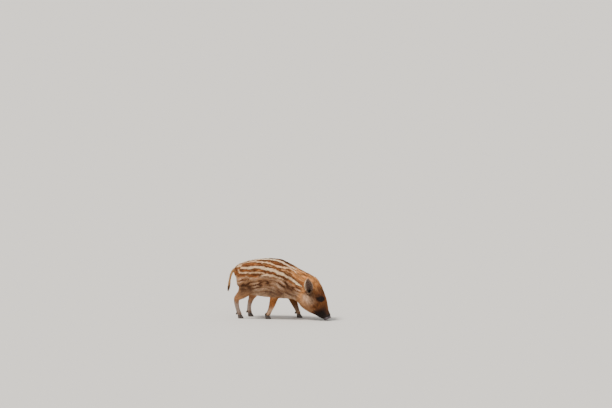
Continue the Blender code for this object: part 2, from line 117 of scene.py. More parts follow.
def linear(red: int, green: int, blue: int) -> Colour:
    """A screen colour, 0 to 255 in each part, as the linear one that shaders work with."""
    parts = [value / 255 for value in (red, green, blue)]
    return tuple(p / 12.92 if p <= 0.04045 else ((p + 0.055) / 1.055) ** 2.4 for p in parts)


class Noise:
    """Smooth seeded noise in space."""

    SIDE = 32

    def __init__(self, seed: int) -> None:
        """Fills the lattice that the noise is read from."""
        self.lattice = np.random.default_rng(seed).random((self.SIDE,) * 3)

    def at(self, places: Array, grain: float) -> Array:
        """The noise at some places.

        Args:
            places: Points in space, in millimetres.
            grain: The size of its lumps, in millimetres.

        Returns:
            A value from -1 to 1 for each place.
        """
        cells = places / grain + 7.3
        low = np.floor(cells).astype(int)
        part = cells - low
        part = part * part * (3 - 2 * part)
        total = np.zeros(len(places))
        for corner in np.ndindex(2, 2, 2):
            share = np.prod(np.where(corner, part, 1 - part), axis=1)
            x, y, z = ((low + corner) % self.SIDE).T
            total += share * self.lattice[x, y, z]
        return total * 2 - 1


# ---------------- the animal's own measures


@dataclass(frozen=True)
class Anatomy:
    """The spine's line and the neck's bend, as the CAD model has them.

    Attributes:
        spine: The middle of each cross-section, as name, x and z.
        rump_x: The trunk's rearmost place in the same measures.
        turn: How far the head is turned to the animal's left, in degrees.
        pivot: The x about which it turns.
        turn_from: The section where the bend starts.
        turn_to: The section where it ends.
        fineness: Steps of the spine's line between two sections.
    """

    spine: tuple[tuple[str, float, float], ...] = (
        ("rump", -222, 209),
        ("buttock", -209, 207),
        ("croup", -189, 197),
        ("loin", -141.5, 191),
        ("flank", -91.5, 190.5),
        ("belly", -42.5, 190),
        ("girth", 2, 186),
        ("shoulder", 44.5, 174.5),
        ("neck", 80.5, 160.5),
        ("nape", 111.5, 145),
        ("poll", 136, 127),
        ("brow", 159, 106),
        ("eyes", 177.5, 83.5),
        ("cheek", 192.5, 65.5),
        ("muzzle", 204, 47.5),
        ("lips", 214, 29.5),
        ("snout", 228, 13),
    )
    rump_x: float = -225.3
    turn: float = -11.0
    pivot: float = 35.0
    turn_from: str = "girth"
    turn_to: str = "nape"
    fineness: int = 16

    def number(self, name: str) -> int:
        """A section's number, counted from the rump."""
        return [row[0] for row in self.spine].index(name)

    def shift(self) -> Array:
        """What brings the animal's own measures to the frame's, in millimetres."""
        low, high = (np.array(corner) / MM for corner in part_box("trunk"))
        return np.array((low[0] - self.rump_x, (low[1] + high[1]) / 2, 0))

    def place(self, points: Array, share: Array | float = 1.0) -> Array:
        """Places of the straight animal, with a share of the neck's turn, as they are in the frame."""
        return self._turned(np.asarray(points, float), np.radians(self.turn) * share) + self.shift()

    def straighten(self, points: Array) -> Array:
        """Places on the head in the frame, as they lie on the straight head."""
        return self._turned(points - self.shift(), -np.radians(self.turn))

    def _turned(self, points: Array, angle: Array | float) -> Array:
        """Turns places about the upright line through the pivot.

        Args:
            points: The places.
            angle: How far each turns, in radians.

        Returns:
            The turned places.
        """
        away = points - (self.pivot, 0, 0)
        x = away[..., 0] * np.cos(angle) - away[..., 1] * np.sin(angle)
        y = away[..., 0] * np.sin(angle) + away[..., 1] * np.cos(angle)
        return np.stack((x, y, away[..., 2]), axis=-1) + (self.pivot, 0, 0)

    def line(self) -> tuple[Array, Array]:
        """The spine's smooth line in the frame.

        Returns:
            Its points in millimetres, and each point's place as a fraction of section numbers.
        """
        knots = np.array([row[1:] for row in self.spine], float)
        padded = np.vstack([2 * knots[0] - knots[1], knots, 2 * knots[-1] - knots[-2]])
        places = np.linspace(0, len(knots) - 1, (len(knots) - 1) * self.fineness + 1)
        first = np.minimum(places.astype(int), len(knots) - 2)
        t = (places - first)[:, None]
        before, start, end, after = (padded[first + step] for step in range(4))
        bend = (2 * before - 5 * start + 4 * end - after) * t**2
        twist = (3 * start - before - 3 * end + after) * t**3
        flat = 0.5 * (2 * start + (end - before) * t + bend + twist)
        share = ramp(self.number(self.turn_from), self.number(self.turn_to), places)
        straight = np.stack((flat[:, 0], np.zeros(len(flat)), flat[:, 1]), axis=1)
        return self.place(straight, share), places


@dataclass
class Located:
    """Places, and where they lie on the torso and head.

    Attributes:
        points: The places, in millimetres.
        section: The place along the spine, in section numbers.
        along: The same in millimetres.
        angle: The angle about the spine from the crest, positive to the left, in radians.
        crest: How far round the surface from the crest, in millimetres, signed like angle.
        broad: The same, brought to the girth of the middle of the trunk.
        ahead: The spine's direction there, towards the snout.
    """

    points: Array
    section: Array
    along: Array
    angle: Array
    crest: Array
    broad: Array
    ahead: Array


class BodyMap:
    """Says where a place is on the torso: how far along it, and how far round from its crest."""

    RAYS = 49
    CHUNK = 20000
    LEAST_GIRTH = 0.3

    def __init__(self, anatomy: Anatomy, surface: BVHTree) -> None:
        """Measures the surface round the spine.

        Args:
            anatomy: The spine.
            surface: The skin, in metres.
        """
        self.anatomy = anatomy
        self.line, self.places = anatomy.line()
        self.ahead = unit(np.gradient(self.line, axis=0))
        self.left = unit(np.cross((0, 0, 1), self.ahead))
        self.up = np.cross(self.ahead, self.left)
        steps = np.linalg.norm(np.diff(self.line, axis=0), axis=1)
        self.along = np.concatenate(([0], np.cumsum(steps)))
        self.angles = np.linspace(0, math.pi, self.RAYS)
        self.round = {side: self._walk(surface, side) for side in (-1, 1)}
        half = np.interp(math.pi / 2, self.angles, np.arange(self.RAYS))
        quarter = sum(self.round[side][:, int(half)] for side in (-1, 1)) / 2
        middle = np.interp(anatomy.number("flank"), self.places, quarter)
        self.girth = np.maximum(quarter / middle, self.LEAST_GIRTH)

    def _walk(self, surface: BVHTree, side: int) -> Array:
        """Measures one side of each cross-section.

        Args:
            surface: The skin, in metres.
            side: The side, -1 on the right.

        Returns:
            For each step of the line, how far down the side each ray meets it, from the crest.
        """
        reach = np.zeros((len(self.line), self.RAYS))
        for row, (point, left, up) in enumerate(zip(self.line, self.left, self.up)):
            for column, angle in enumerate(self.angles):
                way = Vector(up * math.cos(angle) + left * side * math.sin(angle))
                hit = surface.ray_cast(Vector(point * MM), way)
                reach[row, column] = hit[3] / MM if hit[0] else np.nan
        known = ~np.isnan(reach)
        for row in range(len(reach)):
            have = known[row]
            reach[row] = np.interp(self.angles, self.angles[have], reach[row, have]) if have.any() else 1
        reach = np.minimum(reach, 1.25 * np.median(reach[:, : self.RAYS // 2], axis=1)[:, None])
        x, y = reach * np.sin(self.angles), reach * np.cos(self.angles)
        pieces = np.hypot(np.diff(x, axis=1), np.diff(y, axis=1))
        return np.concatenate((np.zeros((len(reach), 1)), np.cumsum(pieces, axis=1)), axis=1)

    def locate(self, points: Array) -> Located:
        """Finds places on the torso.

        Args:
            points: Places in the frame, in millimetres.

        Returns:
            Where they lie.
        """
        nearest = np.empty(len(points), int)
        for start in range(0, len(points), self.CHUNK):
            some = points[start : start + self.CHUNK]
            squares = (some**2).sum(1)[:, None] - 2 * some @ self.line.T + (self.line**2).sum(1)
            nearest[start : start + self.CHUNK] = squares.argmin(1)
        away = points - self.line[nearest]
        on = dots(away, self.ahead[nearest])
        along = np.clip(self.along[nearest] + on, 0, self.along[-1])
        section = np.interp(along, self.along, self.places)
        up, left = dots(away, self.up[nearest]), dots(away, self.left[nearest])
        angle = np.arctan2(left, up)
        row = np.interp(along, self.along, np.arange(len(self.line)))
        column = np.abs(angle) / math.pi * (self.RAYS - 1)
        table = [self._read(self.round[side], row, column) for side in (-1, 1)]
        crest = np.where(angle < 0, -table[0], table[1])
        girth = np.interp(row, np.arange(len(self.line)), self.girth)
        ahead = self.ahead[nearest]
        return Located(points, section, along, angle, crest, crest / girth, ahead)

    @staticmethod
    def _read(table: Array, row: Array, column: Array) -> Array:
        """A table read between its rows and columns.

        Args:
            table: The table.
            row: The rows to read at, as fractions.
            column: The columns.

        Returns:
            A value for each.
        """
        r = np.clip(row.astype(int), 0, table.shape[0] - 2)
        c = np.clip(column.astype(int), 0, table.shape[1] - 2)
        down, across = row - r, column - c
        top = table[r, c] * (1 - across) + table[r, c + 1] * across
        bottom = table[r + 1, c] * (1 - across) + table[r + 1, c + 1] * across
        return top * (1 - down) + bottom * down


# ---------------- meshes


def read(items: bpy.types.bpy_prop_collection, name: str, width: int, kind: type = float) -> Array:
    """Reads a property of a mesh's points, edges or triangles.

    Args:
        items: The points, edges or triangles.
        name: The property.
        width: How many values each has.
        kind: The values' type.

    Returns:
        A row for each.
    """
    values = np.empty(len(items) * width, kind)
    items.foreach_get(name, values)
    return values.reshape(-1, width)


def mesh_arrays(mesh: Mesh) -> tuple[Array, Array]:
    """A mesh's points in millimetres, and its triangles."""
    mesh.calc_loop_triangles()
    return read(mesh.vertices, "co", 3) / MM, read(mesh.loop_triangles, "vertices", 3, np.int32)


def mesh_edges(mesh: Mesh) -> Array:
    """A mesh's edges as pairs of points."""
    return read(mesh.edges, "vertices", 2, np.int32)


def set_points(mesh: Mesh, points: Array) -> None:
    """Moves a mesh's points to places in millimetres."""
    mesh.vertices.foreach_set("co", (points * MM).astype(np.float32).ravel())
    mesh.update()


def spread(values: Array, edges: Array, rounds: int, share: Array | float) -> Array:
    """Evens values out over a mesh, each point moving towards the mean of its neighbours.

    Args:
        values: One row for each point.
        edges: The mesh's edges.
        rounds: How many times.
        share: How far each point moves each time, from 0 to 1.

    Returns:
        The evened values.
    """
    near = np.concatenate((edges[:, 0], edges[:, 1]))
    far = np.concatenate((edges[:, 1], edges[:, 0]))
    count = np.maximum(np.bincount(near, minlength=len(values)), 1)
    share = np.broadcast_to(np.asarray(share, float), (len(values),))[:, None]
    for _ in range(rounds):
        columns = [np.bincount(near, column[far], len(values)) for column in values.T]
        values = values + (np.stack(columns, axis=1) / count[:, None] - values) * share
    return values


def applied(rough: bpy.types.Object, name: str) -> Mesh:
    """Applies an object's modifiers, and removes the object.

    Args:
        rough: The object.
        name: The new mesh's name.

    Returns:
        The mesh with the modifiers applied.
    """
    bpy.context.view_layer.update()
    graph = bpy.context.evaluated_depsgraph_get()
    made = bpy.data.meshes.new_from_object(rough.evaluated_get(graph))
    made.name = name
    spare = rough.data
    bpy.data.objects.remove(rough)
    bpy.data.meshes.remove(spare)
    return made


def outermost(mesh: Mesh) -> Mesh:
    """Keeps only the connected shell that reaches furthest, without any shells inside it.

    Args:
        mesh: The mesh, which is changed.

    Returns:
        The same mesh.
    """
    bm = bmesh.new()
    bm.from_mesh(mesh)
    start = max(bm.verts, key=lambda vert: vert.co.x)
    found = {start}
    waiting = [start]
    while waiting:
        vert = waiting.pop()
        near = {edge.other_vert(vert) for edge in vert.link_edges} - found
        found |= near
        waiting += near
    inside = [vert for vert in bm.verts if vert not in found]
    bmesh.ops.delete(bm, geom=inside, context="VERTS")
    bm.to_mesh(mesh)
    bm.free()
    return mesh


def add_object(name: str, mesh: Mesh, material: Material | None = None) -> bpy.types.Object:
    """An object for a mesh, at the origin.

    Args:
        name: Its name.
        mesh: Its mesh.
        material: Its only material, if it has one.

    Returns:
        The object, in the scene.
    """
    made = bpy.data.objects.new(name, mesh)
    bpy.context.scene.collection.objects.link(made)
    if material is not None:
        mesh.materials.clear()
        mesh.materials.append(material)
    return made


def add_piece(
    name: str, bm: bmesh.types.BMesh, material: Material, node: str
) -> bpy.types.Object:
    """A finished piece from a bmesh: smooth, riding on the root, in its node's place.

    Args:
        name: The piece's name.
        bm: Its shape, which is freed.
        material: Its finish.
        node: The CAD node that it replaces.

    Returns:
        The piece.
    """
    bmesh.ops.recalc_face_normals(bm, faces=bm.faces)
    mesh = bpy.data.meshes.new(name)
    bm.to_mesh(mesh)
    bm.free()
    mesh.polygons.foreach_set("use_smooth", np.ones(len(mesh.polygons), bool))
    piece = add_object(name, mesh, material)
    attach(piece, "root")
    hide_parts(node)
    return piece


def set_colours(mesh: Mesh, name: str, colours: Array) -> None:
    """Writes a colour for each point of a mesh.

    Args:
        mesh: The mesh.
        name: The attribute's name.
        colours: The colours, or one grey value for each.
    """
    layer = mesh.color_attributes.new(name=name, type="FLOAT_COLOR", domain="POINT")
    rows = np.ones((len(colours), 4), np.float32)
    rows[:, :3] = colours if colours.ndim == 2 else colours[:, None]
    layer.data.foreach_set("color", rows.ravel())


# ---------------- the skin


class Part(Enum):
    """The parts of the flesh, each by its CAD nodes."""

    TORSO = ("trunk", "neck")
    HEAD = ("head", "lower_jaw")
    FORE_RIGHT = ("foreleg_right_upper", "foreleg_right_lower")
    FORE_LEFT = ("foreleg_left_upper", "foreleg_left_lower")
    HIND_RIGHT = ("hindleg_right_upper", "hindleg_right_lower")
    HIND_LEFT = ("hindleg_left_upper", "hindleg_left_lower")
    EAR_RIGHT = ("ear_right",)
    EAR_LEFT = ("ear_left",)
    TAIL = ("tail",)


PARTS = list(Part)
LEGS = (Part.FORE_RIGHT, Part.FORE_LEFT, Part.HIND_RIGHT, Part.HIND_LEFT)
EARS = (Part.EAR_RIGHT, Part.EAR_LEFT)
SIDES = {"right": -1, "left": 1}
FLESH = [node for part in PARTS for node in part.value]


class Limb:
    """A leg, an ear or the tail, as a line through the middles of slabs across it."""

    SLABS = 15

    def __init__(self, points: Array, way: Array) -> None:
        """Finds the limb's line.

        Args:
            points: The skin's points on the limb.
            way: The direction from its root to its end.
        """
        self.way = unit(np.asarray(way, float))
        along = points @ self.way
        self.low, self.high = along.min(), along.max()
        edges = np.linspace(self.low, self.high, self.SLABS + 1)
        middles = []
        for start, end in zip(edges, edges[1:]):
            slab = points[(along >= start) & (along <= end)]
            if len(slab):
                middles.append((slab.min(0) + slab.max(0)) / 2)
        self.middles = np.array(middles)
        self.stations = self.middles @ self.way
        order = self.stations.argsort()
        self.middles, self.stations = self.middles[order], self.stations[order]
        self.ways = unit(np.gradient(self.middles, axis=0))

    def share(self, points: Array) -> Array:
        """How far along the limb points lie, from 0 at its root to 1 at its end."""
        return np.clip((points @ self.way - self.low) / (self.high - self.low), 0, 1)

    def middle(self, points: Array) -> Array:
        """The limb's middle at points."""
        return self._at(self.middles, points)

    def direction(self, points: Array) -> Array:
        """The limb's direction at points, towards its end."""
        return unit(self._at(self.ways, points))

    def _at(self, rows: Array, points: Array) -> Array:
        """Rows of the limb's line, read at points."""
        along = points @ self.way
        return np.stack([np.interp(along, self.stations, column) for column in rows.T], axis=1)


@dataclass(frozen=True)
class Eye:
    """One eye's place, and the opening of its lids.

    Attributes:
        gaze: The direction that it looks in.
        along: The direction of the lids' opening, towards the snout.
        half_length: Half the opening's length.
        above: How far it opens above its line.
        below: How far it opens below it.
    """

    centre: Array
    radius: float
    gaze: Array
    along: Array
    half_length: float = 6.6
    above: float = 4.6
    below: float = 3.7

    STEPS = 17

    def spot(self, points: Array) -> tuple[Array, Array, Array, Array]:
        """Places about the eye.

        Args:
            points: Places in the frame.

        Returns:
            Each place's distance from the ball's middle, how far it lies along the opening and
            above it, on the ball, and whether it lies on the side that the eye looks to.
        """
        away = points - self.centre
        reach = np.linalg.norm(away, axis=1)
        ways = away / reach[:, None]
        above = self.upward()
        out = dots(ways, self.gaze)
        scale = self.radius / np.maximum(np.hypot(dots(ways, self.along), dots(ways, above)), 1e-6)
        bend = np.arccos(np.clip(out, -1, 1)) * scale
        return reach, dots(ways, self.along) * bend, dots(ways, above) * bend, out

    def upward(self) -> Array:
        """The direction across the lids' opening, towards the brow."""
        above = np.cross(self.along, self.gaze)
        return above if above[2] > 0 else -above

    def outside(self, points: Array) -> Array:
        """How far places lie outside the lids' opening.

        Args:
            points: The places.

        Returns:
            The distances, negative inside the opening.
        """
        _, u, v, _ = self.spot(points)
        places = np.stack((u, v), axis=1)
        steps = np.linspace(-1, 1, self.STEPS)
        rise = 1 - steps**2
        line = [(self.half_length * t, self.above * r) for t, r in zip(steps, rise)]
        line += [(-self.half_length * t, -self.below * r) for t, r in zip(steps, rise)][1:]
        reach = np.full(len(points), 1e9)
        for start, end in zip(np.array(line), np.array(line[1:])):
            way = end - start
            t = np.clip((places - start) @ way / (way @ way), 0, 1)
            reach = np.minimum(reach, np.linalg.norm(places - start - t[:, None] * way, axis=1))
        height = np.where(v > 0, self.above, self.below) * (1 - (u / self.half_length) ** 2)
        return np.where(np.abs(v) < height, -reach, reach)

    def aside(self, points: Array) -> tuple[Array, Array, Array]:
        """How far places lie along the opening, above it and out in front of the ball's middle."""
        away = points - self.centre
        return dots(away, self.along), dots(away, self.upward()), dots(away, self.gaze)


@dataclass
class Spots(Located):
    """Places on the skin, with all that the coat and the colours read there.

    Attributes:
        share: Each place's share in each Part, in the order of PARTS.
        limb: How far along its leg, ear or tail a place lies.
        inner: How much a place faces the hollow of an ear.
        rim: How close it is to an ear's edge.
        lie: The way the coat lies.
    """

    share: Array
    limb: Array
    inner: Array
    rim: Array
    lie: Array
    normal: Array

    def of(self, *parts: Part) -> Array:
        """Each place's share in some parts together."""
        return sum(self.share[:, PARTS.index(part)] for part in parts)

    def packed(self) -> Array:
        """All that is read at each place, as rows to be mixed."""
        return np.column_stack((self.share, self.limb, self.inner, self.rim, self.lie, self.normal))

    @classmethod
    def unpacked(cls, located: Located, rows: Array) -> "Spots":
        """Places with what is read there.

        Args:
            located: The places.
            rows: Their mixed rows.

        Returns:
            Both together.
        """
        share, single, lie, normal = np.split(rows, np.cumsum((len(PARTS), 3, 3)), axis=1)
        normal = unit(normal)
        return cls(*vars(located).values(), share, *single.T, flattened(lie, normal), normal)


@dataclass
class Skin:
    """The one skin under the coat.

    Attributes:
        voxel: The size of the cells that fuse the nodes.
        swell: How far each node grows first, so that the cuts between nodes close.
        triangles: The most that the fused skin keeps.
        rounds: How many times the skin is eased.
        easing: How strongly each Part is eased, in the order of PARTS.
        depth: The coat's depth as a share of its hairs' length.
        mouth: The mouth's line on the straight head, from its corner forwards, as x and z.
        opening: The middle of the left ear's opening at its root, on the straight head.
        refining: Rounds of finer triangles: how far from an eye, how far from the mouth, from
            which section on, and the least edge that is halved.
    """

    anatomy: Anatomy
    voxel: float = 1.3
    swell: float = 0.4
    triangles: int = 140_000
    rounds: int = 45
    easing: tuple[float, ...] = (0.6, 0.42, 0.4, 0.4, 0.4, 0.4, 0.1, 0.1, 0.08)
    depth: float = 0.34
    mouth: tuple[tuple[float, float], ...] = ((173, 48), (180, 41), (190, 29), (199, 17), (206, 8))
    opening: tuple[float, float, float] = (156, 41.5, 139)
    refining: tuple[tuple[float, float, float, float], ...] = (
        (15.5, 5, 14.0, 0.9),
        (13.5, 0, 99, 0.5),
    )

    def build(self) -> None:
        """Fuses, eases, thins, draws in and sculpts the skin."""
        self.eyes = {}
        mesh = self._fused()
        points, _ = mesh_arrays(mesh)
        self.node_tree, self.node_parts = self._node_tree()
        share = self._shares(points, mesh_edges(mesh))
        strength = share @ np.array(self.easing)
        set_points(mesh, spread(points, mesh_edges(mesh), self.rounds, strength))
        mesh = self._thinned(mesh, share)
        self._measure(mesh)
        self.eyes = {side: self._eye(side) for side in SIDES}
        self._draw_in(mesh)
        mesh = self._refined(mesh)
        self._measure(mesh)
        self._sculpt(mesh)
        self._measure(mesh)
        self.mesh = mesh

    def _fused(self) -> Mesh:
        """Fuses the flesh and the eyes' balls.

        Returns:
            One closed mesh.
        """
        bm = bmesh.new()
        for node in [*FLESH, "eye_right", "eye_left"]:
            one = bmesh.new()
            one.from_mesh(bpy.data.objects[node].data)
            bmesh.ops.remove_doubles(one, verts=one.verts, dist=1e-6)
            one.normal_update()
            for vert in one.verts:
                vert.co += vert.normal * self.swell * MM
            loose = bpy.data.meshes.new(node + "_swollen")
            one.to_mesh(loose)
            one.free()
            bm.from_mesh(loose)
            bpy.data.meshes.remove(loose)
        joined = bpy.data.meshes.new("joined_flesh")
        bm.to_mesh(joined)
        bm.free()
        rough = add_object("joined_flesh", joined)
        fuse = rough.modifiers.new("fuse", "REMESH")
        fuse.mode = "VOXEL"
        fuse.voxel_size = self.voxel * MM
        return outermost(applied(rough, "fused_flesh"))

    def _thinned(self, mesh: Mesh, share: Array) -> Mesh:
        """Thins the skin's triangles, but not on the head and ears.

        Args:
            mesh: The fused skin.
            share: Each point's share in each Part.

        Returns:
            The thinner skin.
        """
        rough = add_object("thinned_skin", mesh)
        group = rough.vertex_groups.new(name="thin")
        kept = sum(share[:, PARTS.index(part)] for part in (Part.HEAD, *EARS))
        group.add(np.flatnonzero(kept < 0.5).tolist(), 1.0, "REPLACE")
        thin = rough.modifiers.new("thin", "DECIMATE")
        thin.vertex_group = "thin"
        thin.vertex_group_factor = 1.0
        thin.ratio = self.triangles / (2 * len(mesh.polygons))
        return applied(rough, "skin")

    def _node_tree(self) -> tuple[BVHTree, Array]:
        """Gathers the flesh nodes' triangles.

        Returns:
            A tree of them all, and the number of each one's Part.
        """
        corners, faces, parts = [], [], []
        count = 0
        for number, part in enumerate(PARTS):
            for node in part.value:
                points, triangles = mesh_arrays(bpy.data.objects[node].data)
                corners.append(points)
                faces.append(triangles + count)
                parts += [number] * len(triangles)
                count += len(points)
        tree = BVHTree.FromPolygons(np.vstack(corners).tolist(), np.vstack(faces).tolist())
        return tree, np.array(parts)

    def _shares(self, points: Array, edges: Array, rounds: int = 24) -> Array:
        """Each point's share in each Part, softened over the seams.

        Args:
            points: The skin's points.
            edges: The skin's edges.
            rounds: How far the seams are softened.

        Returns:
            A row for each point.
        """
        found = [self.node_tree.find_nearest(point)[2] for point in points.tolist()]
        share = np.zeros((len(points), len(PARTS)))
        share[np.arange(len(points)), self.node_parts[found]] = 1
        return spread(share, edges, rounds, 0.7)

    def _measure(self, mesh: Mesh) -> None:
        """Works out everything that is read from the skin, at each of its points.

        Args:
            mesh: The skin as it is now.
        """
        self.points, self.faces = mesh_arrays(mesh)
        self.normals = read(mesh.vertices, "normal", 3)
        self.edges = mesh_edges(mesh)
        corners = (self.points * MM).tolist()
        self.tree = BVHTree.FromPolygons(corners, self.faces.tolist())
        share = self._shares(self.points, self.edges)
        self.limbs = {part: self._limb(part, share) for part in (*LEGS, *EARS, Part.TAIL)}
        torso = (share[:, :2].sum(1) > 0.5)[self.faces].all(1)
        self.body = BodyMap(self.anatomy, BVHTree.FromPolygons(corners, self.faces[torso].tolist()))
        self.spots = self._spots(share)
        self.lengths = self.hair_length(self.spots)

    def _limb(self, part: Part, share: Array) -> Limb:
        """The line of a leg, an ear or the tail.

        Args:
            part: Which of them.
            share: Each point's share in each Part.

        Returns:
            The line.
        """
        points = self.points[share[:, PARTS.index(part)] > 0.5]
        way = np.array((0, 0, -1.0))
        if part in EARS:
            way = np.linalg.svd(points - points.mean(0), full_matrices=False)[2][0]
            way = way if way[2] > 0 else -way
        return Limb(points, way)

    def _spots(self, share: Array) -> Spots:
        """Everything that is read at the skin's points.

        Args:
            share: Each point's share in each Part.

        Returns:
            The points, with what is read there.
        """
        points, normals = self.points, self.normals
        located = self.body.locate(points)
        limb, inner, rim = np.zeros((3, len(points)))
        lie = self._torso_lie(located) * share[:, :2].sum(1)[:, None]
        for part, line in self.limbs.items():
            weight = share[:, PARTS.index(part)]
            limb += line.share(points) * weight
            lie += line.direction(points) * weight[:, None]
        for part, side in zip(EARS, (-1, 1)):
            line = self.limbs[part]
            mine = np.flatnonzero(share[:, PARTS.index(part)] > 0.3)
            hollow = line.middle(points[mine]) + self.ear_mouth(side) * 11
            facing = dots(unit(hollow - points[mine]), normals[mine])
            inner[mine] = ramp(-0.15, 0.35, facing)
            for index in mine:
                start, normal = Vector(points[index] * MM), Vector(normals[index])
                hit = self.tree.ray_cast(start - normal * 0.05 * MM, -normal, 0.02)
                thick = hit[3] / MM if hit[0] else 20.0
                rim[index] = ramp(4.0, 7.0, thick)
            up = line.share(points[mine])
            back = 0.9 * ramp(0.1, 0.3, up) * (inner[mine] < 0.4)
            rim[mine] *= np.maximum(ramp(0.2, 0.36, up), back)
        rim *= ramp(1.0, 1.5, self.concha(points))
        rim = np.clip(spread(rim[:, None], self.edges, 4, 0.6)[:, 0] * 1.5, 0, 1)
        lie = flattened(spread(lie, self.edges, 6, 0.5), normals)
        return Spots(*vars(located).values(), share, limb, inner, rim, lie, normals)

    def ear_mouth(self, side: int) -> Array:
        """The way an ear's hollow opens (side is -1 on the right)."""
        straight = np.array((0.48, 0.87 * side, -0.05))
        return unit(self.anatomy.place(straight) - self.anatomy.place(np.zeros(3)))

    @staticmethod
    def _torso_lie(located: Located) -> Array:
        """The way the coat lies on torso and head: back along the spine, and down the sides.

        Args:
            located: The places.

        Returns:
            A direction for each.
        """
        section, angle = located.section, np.abs(located.angle)
        fall = np.interp(section, (0, 1.5, 4, 7, 9, 10.5, 12), (1.3, 0.8, 0.3, 0.35, 0.3, 0.1, 0))
        fall = fall * np.sin(np.clip(angle, 0, math.pi)) + ramp(1.2, 0, section)
        return -located.ahead + np.array((0, 0, -1.0)) * fall[:, None]

    def eye_distance(self, points: Array) -> Array:
        """How far places lie from the nearer eye's middle."""
        return np.min([np.linalg.norm(points - e.centre, axis=1) for e in self.eyes.values()], axis=0)

    def hair_length(self, spots: Spots) -> Array:
        """How long the coat is.

        Args:
            spots: The places.

        Returns:
            The length of the hair at each.
        """
        section, angle = spots.section, np.abs(spots.angle)
        torso = np.interp(
            section,
            (0, 1, 3, 6, 8, 9, 10, 11, 12, 13, 14, 15, 16),
            (8, 10, 13, 13.5, 14, 12.5, 9, 6.5, 4.6, 4.0, 3.2, 2.4, 1.8),
        )
        torso = torso * (1 - 0.25 * ramp(2.2, 2.9, angle) * ramp(9, 8, section))
        torso += 3.0 * bell(angle, 1.9, 0.7) * ramp(9.4, 10.2, section) * ramp(13.4, 12.2, section)
        leg = np.interp(spots.limb, (0, 0.3, 0.6, 0.85, 0.93, 1), (11, 8.5, 5.5, 4.4, 5.2, 6.4))
        ear = 4.4 + 0.8 * spots.inner + 3.0 * spots.rim
        tail = np.interp(spots.limb, (0, 0.6, 1), (7, 8, 12))
        length = torso * spots.of(Part.TORSO, Part.HEAD) + leg * spots.of(*LEGS)
        length += ear * spots.of(*EARS) + tail * spots.of(Part.TAIL)
        if self.eyes:
            near = 1.6 + 0.3 * np.maximum(self.eye_distance(spots.points) - 11, 0)
            length = np.minimum(length, near)
        return length

    def _draw_in(self, mesh: Mesh) -> None:
        """Moves the skin in by the depth of the coat.

        Args:
            mesh: The skin, which is changed.
        """
        ear_or_tail = self.spots.of(*EARS, Part.TAIL)
        thin = 0.75 * self.spots.of(*EARS) + 0.55 * self.spots.of(Part.TAIL)
        depth = self.lengths * self.depth * (1 - thin) + self.swell
        depth = spread(depth[:, None], self.edges, 12, 0.5)[:, 0]
        ways = unit(spread(self.normals, self.edges, 6, 0.5 * (1 - ear_or_tail)))
        points = self.points - ways * depth[:, None]
        set_points(mesh, spread(points, self.edges, 4, 0.4 * (1 - ear_or_tail)))

    def _eye(self, side: str) -> Eye:
        """An eye, from its CAD node and the skin round it.

        Args:
            side: Which eye.

        Returns:
            The eye.
        """
        low, high = (np.array(corner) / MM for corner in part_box("eye_" + side))
        centre, radius = (low + high) / 2, (high - low).mean() / 2
        reach = np.linalg.norm(self.points - centre, axis=1)
        gaze = unit(self.normals[(reach > 8) & (reach < 17)].mean(0))
        row = np.linalg.norm(self.body.line - centre, axis=1).argmin()
        along = self.body.ahead[row]
        return Eye(centre, radius, gaze, unit(along - gaze * (along @ gaze)))

    def _refined(self, mesh: Mesh) -> Mesh:
        """Makes the triangles smaller round the eyes, the mouth and the snout.

        Args:
            mesh: The skin, which is changed.

        Returns:
            The same mesh.
        """
        bm = bmesh.new()
        bm.from_mesh(mesh)
        for reach, mouth_reach, snout, least in self.refining:
            points = np.array([vert.co for vert in bm.verts]) / MM
            wanted = self.eye_distance(points) < reach
            wanted |= np.abs(self.mouth_distance(points)) < mouth_reach
            wanted |= self.body.locate(points).section > snout
            wanted &= self.anatomy.straighten(points)[:, 0] > self.mouth[0][0] - 6
            edges = [
                edge for edge in bm.edges
                if wanted[edge.verts[0].index] and wanted[edge.verts[1].index]
                and edge.calc_length() > least * MM
            ]
            bmesh.ops.subdivide_edges(bm, edges=edges, cuts=1, use_grid_fill=True)
            bmesh.ops.triangulate(bm, faces=[face for face in bm.faces if len(face.verts) > 3])
            bm.verts.index_update()
        bm.to_mesh(mesh)
        bm.free()
        mesh.update()
        return mesh

    def mouth_distance(self, points: Array) -> Array:
        """How far places lie from the mouth's line, seen from the side.

        Args:
            points: The places.

        Returns:
            The distances, negative below the line.
        """
        flat = self.anatomy.straighten(points)[:, [0, 2]]
        best = np.full(len(points), 1e9)
        line = np.array(self.mouth, float)
        for start, end in zip(line, line[1:]):
            way = end - start
            t = np.clip((flat - start) @ way / (way @ way), 0, 1)
            away = flat - start - t[:, None] * way
            below = np.sign(way[0] * away[:, 1] - way[1] * away[:, 0])
            reach = np.linalg.norm(away, axis=1)
            best = np.where(reach < np.abs(best), reach * np.where(below == 0, 1, below), best)
        return best

    def _sculpt(self, mesh: Mesh) -> None:
        """Shapes lids, mouth, snout wrinkles and the hollows of the ears.

        Args:
            mesh: The skin, which is changed.
        """
        near = self.spots.of(Part.HEAD)
        snout = self.spots.section > 13.9
        moved = spread(self.points, self.edges, 5, 0.4 * near * np.where(snout, 0.3, 1))
        points = moved + self.normals * self._relief()[:, None]
        hollow = ramp(1.15, 0.35, self.concha(self.points))
        line = np.searchsorted(self.body.along, self.spots.along).clip(0, len(self.body.along) - 1)
        for side in (-1, 1):
            here = (self.points[:, 1] - self.body.line[line, 1]) * side > 0
            points = points - self.ear_mouth(side) * (7.5 * hollow * here)[:, None]
        for eye in self.eyes.values():
            points = self._lids(points, eye)
        set_points(mesh, points)

